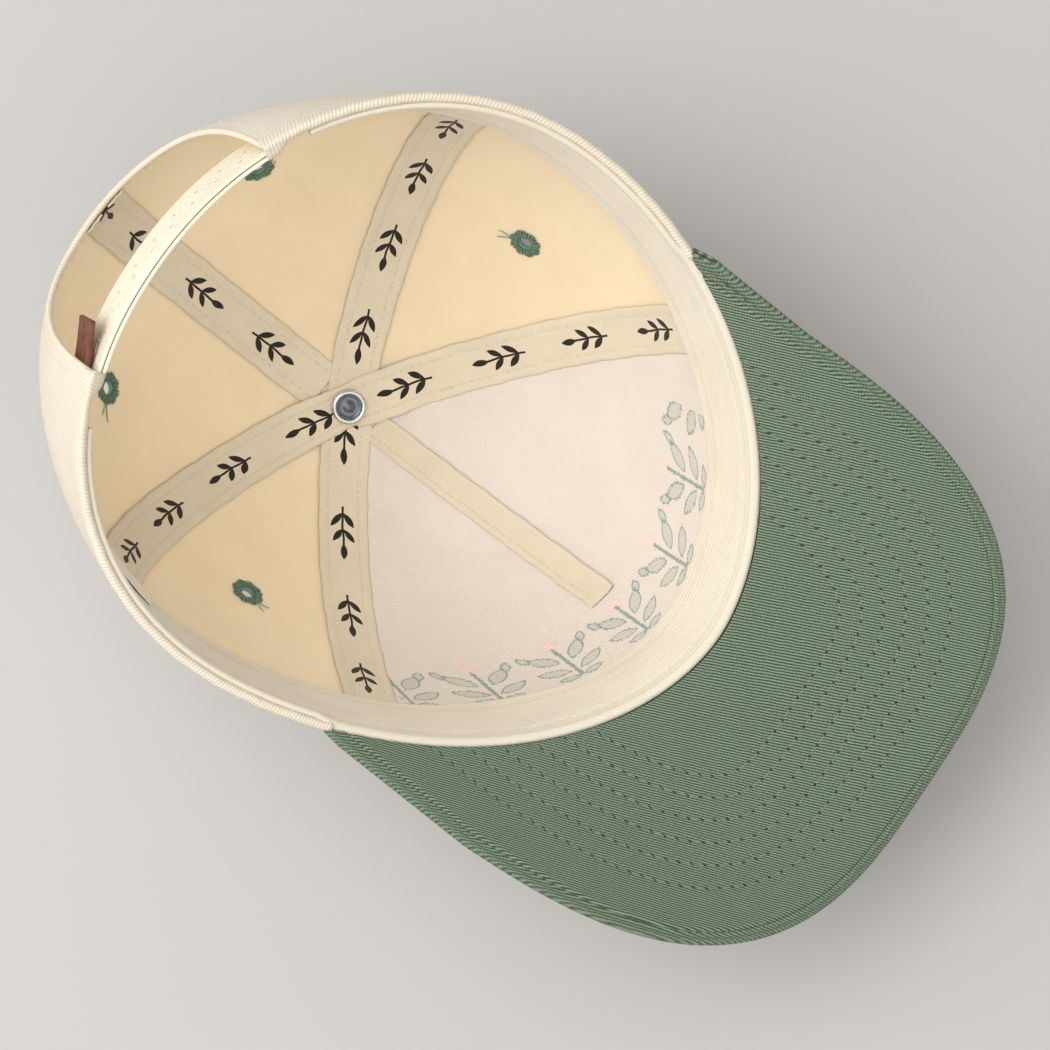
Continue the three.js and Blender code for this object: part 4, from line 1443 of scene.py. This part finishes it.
def peak_edge_line(count=900):
    """The peak's outline, with the short ends that run in to the rim."""
    line = np.stack(peak_outline(np.linspace(-1, 1, count)), -1)
    first, last = (peak_inner(np.array(end), PEAK_SEAM_GAP)[:2] for end in (-1.0, 1.0))
    share = np.linspace(0, 1, 13)[:, None]
    left_end = first + (line[0] - first) * share[:-1]
    right_end = line[-1] + (last - line[-1]) * share[1:]
    return np.concatenate([left_end, line, right_end])


def measure_from_edge(points):
    """How far in from the peak's edge each point lies, and how far along at that distance."""
    line = peak_edge_line()
    half = len(line) // 2
    run = np.gradient(line, axis=0)
    turning = np.unwrap(np.arctan2(run[:, 1], run[:, 0]))
    turning = np.abs(turning - turning[half]) * np.sign(np.arange(len(turning)) - half)
    lengths = travel(line)
    inward = np.empty(len(points))
    travelled = np.empty(len(points))
    for first in range(0, len(points), 4000):
        block = slice(first, first + 4000)
        spots = points[block, :2]
        nearest = np.linalg.norm(spots[:, None] - line[None], axis=2).argmin(1)
        best = np.full(len(spots), np.inf)
        along = np.zeros(len(spots))
        for start in (np.maximum(nearest - 1, 0), np.minimum(nearest, len(line) - 2)):
            step = line[start + 1] - line[start]
            share = np.clip(((spots - line[start]) * step).sum(1) / (step * step).sum(1), 0, 1)
            gap = np.linalg.norm(spots - line[start] - step * share[:, None], axis=1)
            stop = lengths[start] + share * (lengths[start + 1] - lengths[start])
            closer = gap < best
            best = np.where(closer, gap, best)
            along = np.where(closer, stop, along)
        inward[block] = best
        travelled[block] = along - best * turning[nearest]
    return inward, travelled


def peak_across(across):
    """Columns gather where the peak's sides run back to the rim."""
    front = 1 - PEAK_SIDE_SHARE
    near_end = 0.985
    return np.interp(across, [0, 0.04, 0.2, 0.8, 0.96, 1], [-1, -near_end, -front, front, near_end, 1])


def hollow(distance, depth, width):
    return depth * np.exp(-(distance / width) ** 2)


def make_peak_cloth(node, side, sheet):
    """side is 1 for the top cloth and -1 for the cloth under it."""
    found = {}

    def point(across, along):
        wide = peak_across(across)
        deep = 1 - (1 - along) ** 1.25
        middle = peak_middle(wide, deep)
        inward, travelled = measure_from_edge(middle)
        found["seam"] = flat_marks(travelled, inward)
        x = middle[:, 0]
        gather = np.where(x < 0, RIB_GATHER_LEFT, RIB_GATHER_RIGHT)
        found["plan"] = flat_marks(x * (1 + gather * np.abs(x)), middle[:, 1])
        round_edge = np.sqrt(np.clip(1 - (1 - np.clip(inward / PEAK_LIP, 0, 1)) ** 2, 0, 1))
        groove = hollow(inward - EDGE_ROW, 0.42, 0.45)
        for row in range(QUILT_ROWS):
            groove += hollow(inward - QUILT_FIRST - QUILT_STEP * row, 0.16, 0.7)
        room = PEAK_HALF_THICKNESS - sheet["thickness"] - PEAK_PARTING - groove
        layer = PEAK_PARTING + room * round_edge
        return middle + peak_normal(wide, deep) * (side * layer)[:, None]

    bm = bmesh.new()
    lay_grid(bm, sheet["columns"], sheet["rows"], point, lambda across, along: found["plan"])
    seam = mark_layer(bm, "seam")
    for vert, mark in zip(bm.verts, found["seam"].tolist()):
        vert[seam] = mark
    piece = new_piece("cloth_" + node, bm, [PEAK_TWILL])
    thicken(piece, sheet["thickness"], offset=side)
    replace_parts(piece, node)
    declare_cloth(point)


def make_edge_stitches():
    """The row of stitches near the peak's edge, on both faces."""
    line = np.stack(peak_outline(np.linspace(-0.975, 0.975, 700)), -1)
    run = unit(np.gradient(line, axis=0))
    inward = np.stack([-run[:, 1], run[:, 0]], -1)
    centre = np.array([0.0, PEAK_STATION + 20])
    flip = np.sign(((centre - line) * inward).sum(1, keepdims=True))
    line = line + inward * flip * EDGE_ROW
    bm = bmesh.new()
    for side in (-1, 1):
        z = peak_height(line[:, 0], line[:, 1]) + side * (PEAK_HALF_THICKNESS - 0.4)
        low = np.concatenate([line, z[:, None]], 1)
        sew(bm, place(low), place(low + np.array([0, 0, side * ABOVE])), EDGE_STITCH)
    new_piece("stitches_peak_edge", bm, [DARK_SAGE_THREAD])


# Strap and tab

def beside_rim(angle, height, out):
    radius = rim_radius(angle) + out + height * STRAP_LEAN
    return np.stack([TOP_X + radius * np.sin(angle), TOP_Y + radius * np.cos(angle), height], -1)


def make_strap(node, outside):
    """The part of the strap that isn't tucked into the rim's fold at either end."""
    middle = outside - STRAP_THICKNESS / 2
    first = float(ARCH_ANGLES[0]) - STRAP_TUCK
    last = float(ARCH_ANGLES[-1]) + STRAP_TUCK

    def point(across, along):
        return beside_rim(first + (last - first) * across, STRAP_LOW + along * STRAP_HEIGHT, middle)

    def marks(across, along):
        return flat_marks(across * 95, along * STRAP_HEIGHT)

    piece = lay_piece("plastic_" + node, STRAP_PLASTIC, STRAP_SHEET, point, marks)
    soften_edges(piece, 0.3)
    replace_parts(piece, node)


def snap_place(slot, out):
    """The middle of a snap and the direction out of the strap, in the row's metres."""
    angle = np.array(math.radians((STRAP_FROM + STRAP_TO) / 2 + slot * SNAP_PITCH))
    height = np.array(STRAP_LOW + STRAP_HEIGHT / 2)
    spot = place(beside_rim(angle, height, out))
    ahead = place(beside_rim(angle, height, out + 1.0))
    return Vector(spot), Vector(ahead - spot).normalized()


def make_snaps():
    """Rings with two small dots each."""
    ring = [(1.75, -0.2), (1.75, 0.06), (1.6, 0.12), (1.45, 0.05), (0.0, 0.04)]
    dot = [(0.42, -0.2), (0.42, 0.12), (0.25, 0.22), (0.0, 0.24)]
    bm = bmesh.new()
    for slot in range(-3, 4):
        spot, out = snap_place(slot, STRAP_OUTSIDE)
        turn_profile(bm, ring, 20, spot, out)
        for side in (-0.28, 0.28):
            spot, out = snap_place(slot + side, STRAP_OUTSIDE)
            spot += Vector(place(np.array([0, 0, 2.6 * side])) - place(np.zeros(3)))
            turn_profile(bm, dot, 10, spot, out)
    new_piece("strap_snaps", bm, [CREAM_PLASTIC])


def make_tab():
    def point(across, along):
        angle = np.radians(TAB_FROM + (TAB_TO - TAB_FROM) * across)
        away = -0.76 + TAB_FLARE * across * across + TAB_THICKNESS / 2
        return beside_rim(angle, TAB_LOW + (TAB_HIGH - TAB_LOW) * along, away)

    def marks(across, along):
        return flat_marks(across * 18, along * 12 - 6)

    piece = lay_piece("leather_back_tab", BROWN_LEATHER, TAB_SHEET, point, marks)
    soften_edges(piece, 0.35)
    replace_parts(piece, "leather_tab")


# Eyelets, button and rivet

def make_eyelet(eyelet, number):
    """A sewn ring with threads over both its faces, and two loose ends inside."""
    spot, normal = eyelet_place(eyelet)
    out = place(spot + normal) - place(spot)
    spot = Vector(place(spot))
    out = Vector(out).normalized()
    bm = bmesh.new()
    half = [(EYELET_HOLE, 0.45), (2.6, 0.8), (4.0, 0.75), (4.4, 0.62)]
    profile = half + [(radius, -height) for radius, height in reversed(half)] + half[:1]
    turn_profile(bm, profile, 32, spot, out)
    for face in (1, -1):
        for i in range(EYELET_THREADS):
            lay_eyelet_thread(bm, i, number, spot, out, face)
    run = Vector((*eyelet["tail"], 0))
    run = (run - out * run.dot(out)).normalized()
    bend = out.cross(run)
    for strand in (-1, 1):
        tail = []
        for s in np.linspace(0, 1, 9):
            along = 3.8 + eyelet["length"] * s
            aside = strand * (0.35 + 0.7 * s) + 0.6 * math.sin(3 * s)
            lift = 0.9 + 0.35 * math.sin(3 * s + strand)
            tail.append(spot + (run * along + bend * aside - out * lift) / 1000)
        sweep_tube(bm, np.array([tuple(v) for v in tail]), 0.15, 6)
    piece = new_piece("thread_" + eyelet["name"], bm, [SAGE_THREAD, DARK_SAGE_THREAD])
    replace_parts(piece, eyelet["name"])


def lay_eyelet_thread(bm, i, number, spot, out, face):
    """One thread from the hole to the rim, lighter and darker by turns; the darker threads are painted
    shade between the threads.
    """
    jitter = math.sin(i * 7.3 + number * 2.1)
    turn = Matrix.Rotation(2 * math.pi * (i + 0.3 * jitter) / EYELET_THREADS, 3, out)
    run = turn @ out.orthogonal().normalized()
    reach = EYELET_RADIUS - 1.3 + 0.3 * jitter
    centre = spot + (run * (1.75 + reach / 2) + out * face * 0.84) / 1000
    stand = Matrix((run, out.cross(run), out)).transposed().to_4x4()
    size = Matrix.Diagonal((reach / 2000, 0.00025, 0.0003, 1))
    matrix = Matrix.Translation(centre) @ stand @ size
    verts = bmesh.ops.create_icosphere(bm, subdivisions=1, radius=1, matrix=matrix)["verts"]
    for shown in {f for v in verts for f in v.link_faces}:
        # Every other thread takes the dark thread: painted shade between neighbouring threads.
        shown.material_index = i % 2


def crown_axis():
    top = crown_point(np.array(0.0), np.array(1.0), 0.0)
    spot = place(top)
    ahead = place(top + np.array([0, 0, 1.0]))
    return Vector(spot), Vector(ahead - spot).normalized()


def make_button():
    spot, up = crown_axis()
    under = CLOTH / 2 + 0.35
    side = under + 0.7
    rows = [(0.0, under), (BUTTON_RADIUS - 0.9, under), (BUTTON_RADIUS, side)]
    for turn in np.linspace(0, math.pi / 2, 10)[1:-1]:
        rows.append((BUTTON_RADIUS * math.cos(turn), side + (BUTTON_HEIGHT - 0.7) * math.sin(turn)))
    rows.append((0.0, under + BUTTON_HEIGHT))
    bm = bmesh.new()
    turn_profile(bm, rows, 48, spot, up)
    marks = mark_layer(bm)
    for vert in bm.verts:
        aside = (vert.co - spot) * 1000
        vert[marks] = (aside.x, aside.y, 0)
    piece = new_piece("cloth_crown_button", bm, [BUTTON_TWILL])
    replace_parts(piece, "crown_button")


# Rows of radius and height below the rivet's face
RIVET_SECTION = [
    (4.0, 0.5), (3.9, 1.35), (4.25, 1.75), (4.75, 1.7), (5.2, 1.2), (RIVET_RADIUS, 0.5), (5.1, 0), (0.0, 0),
]
CUP_SECTION = [(4.05, 1.2), (3.6, 0.95), (2.8, 0.72), (1.6, 0.6), (1.5, 0.72), (0.0, 0.76)]


def turn_rivet_piece(name, section, finish):
    face = TAPE_CROSSING - 0.45
    bm = bmesh.new()
    turn_profile(bm, [(radius, face - depth) for radius, depth in section], 64, *crown_axis())
    return new_piece(name, bm, [finish])


def make_rivet():
    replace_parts(turn_rivet_piece("metal_button_rivet", RIVET_SECTION, RIVET_STEEL), "button_rivet")
    thicken(turn_rivet_piece("metal_rivet_cup", CUP_SECTION, RIVET_CUP), 0.1)


# Stage

def make_camera():
    camera = bpy.data.objects.new("camera", bpy.data.cameras.new("camera"))
    bpy.context.scene.collection.objects.link(camera)
    right, down, forward = (Vector(v).normalized() for v in (CAMERA_RIGHT, CAMERA_DOWN, CAMERA_FORWARD))
    turn = Matrix((right, -down, -forward)).transposed().to_4x4()
    camera.matrix_world = Matrix.Translation(CAMERA_PLACE) @ turn
    camera.data.sensor_width = SENSOR_WIDTH
    camera.data.lens = FOCAL_PIXELS / PHOTO_PIXELS * SENSOR_WIDTH
    camera.data.clip_end = 20
    bpy.context.scene.camera = camera


def add_light(name, towards, distance, size, watts, colour):
    """A soft lamp that looks at the cap from a direction in the row's frame."""
    lamp = bpy.data.lights.new(name, "AREA")
    lamp.shape = "DISK"
    lamp.size = size
    lamp.energy = watts
    lamp.color = colour
    holder = bpy.data.objects.new(name, lamp)
    bpy.context.scene.collection.objects.link(holder)
    aim = Vector(towards).normalized()
    holder.location = aim * distance + Vector((0, 0, 0.06))
    holder.rotation_euler = aim.to_track_quat("Z", "Y").to_euler()


def make_stage():
    bm = bmesh.new()
    bmesh.ops.create_grid(bm, x_segments=1, y_segments=1, size=4)
    mesh = bpy.data.meshes.new("floor")
    bm.to_mesh(mesh)
    bm.free()
    floor = bpy.data.objects.new("floor", mesh)
    floor.location.z = -FLOOR_GAP
    bpy.context.scene.collection.objects.link(floor)
    mesh.materials.append(make_floor())
    world = bpy.data.worlds.new("studio")
    world.use_nodes = True
    background = world.node_tree.nodes["Background"]
    background.inputs["Color"].default_value = WORLD_COLOUR
    background.inputs["Strength"].default_value = WORLD_STRENGTH
    bpy.context.scene.world = world
    bpy.context.scene.view_settings.view_transform = "Standard"
    for light in LIGHTS:
        add_light(**light)


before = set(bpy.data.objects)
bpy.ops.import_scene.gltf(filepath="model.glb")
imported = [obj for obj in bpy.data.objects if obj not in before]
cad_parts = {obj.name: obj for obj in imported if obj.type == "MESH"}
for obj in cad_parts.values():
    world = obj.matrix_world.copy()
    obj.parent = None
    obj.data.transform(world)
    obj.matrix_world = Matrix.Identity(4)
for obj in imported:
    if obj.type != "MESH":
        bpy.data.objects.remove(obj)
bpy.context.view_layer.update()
make_camera()
make_stage()
for panel in PANELS:
    make_panel(panel)
make_topstitching()
make_lining()
make_tapes()
make_band()
make_label()
make_rim_folds()
make_arch_hem()
make_peak_cloth("peak_top_cloth", 1, PEAK_TOP_SHEET)
make_peak_cloth("peak_under_cloth", -1, PEAK_UNDER_SHEET)
make_edge_stitches()
make_strap("strap_holed", STRAP_OUTSIDE)
make_strap("strap_studded", STRAP_OUTSIDE - STRAP_THICKNESS - 0.3)
make_snaps()
make_tab()
for number, eyelet in enumerate(EYELETS):
    make_eyelet(eyelet, number)
make_button()
make_rivet()
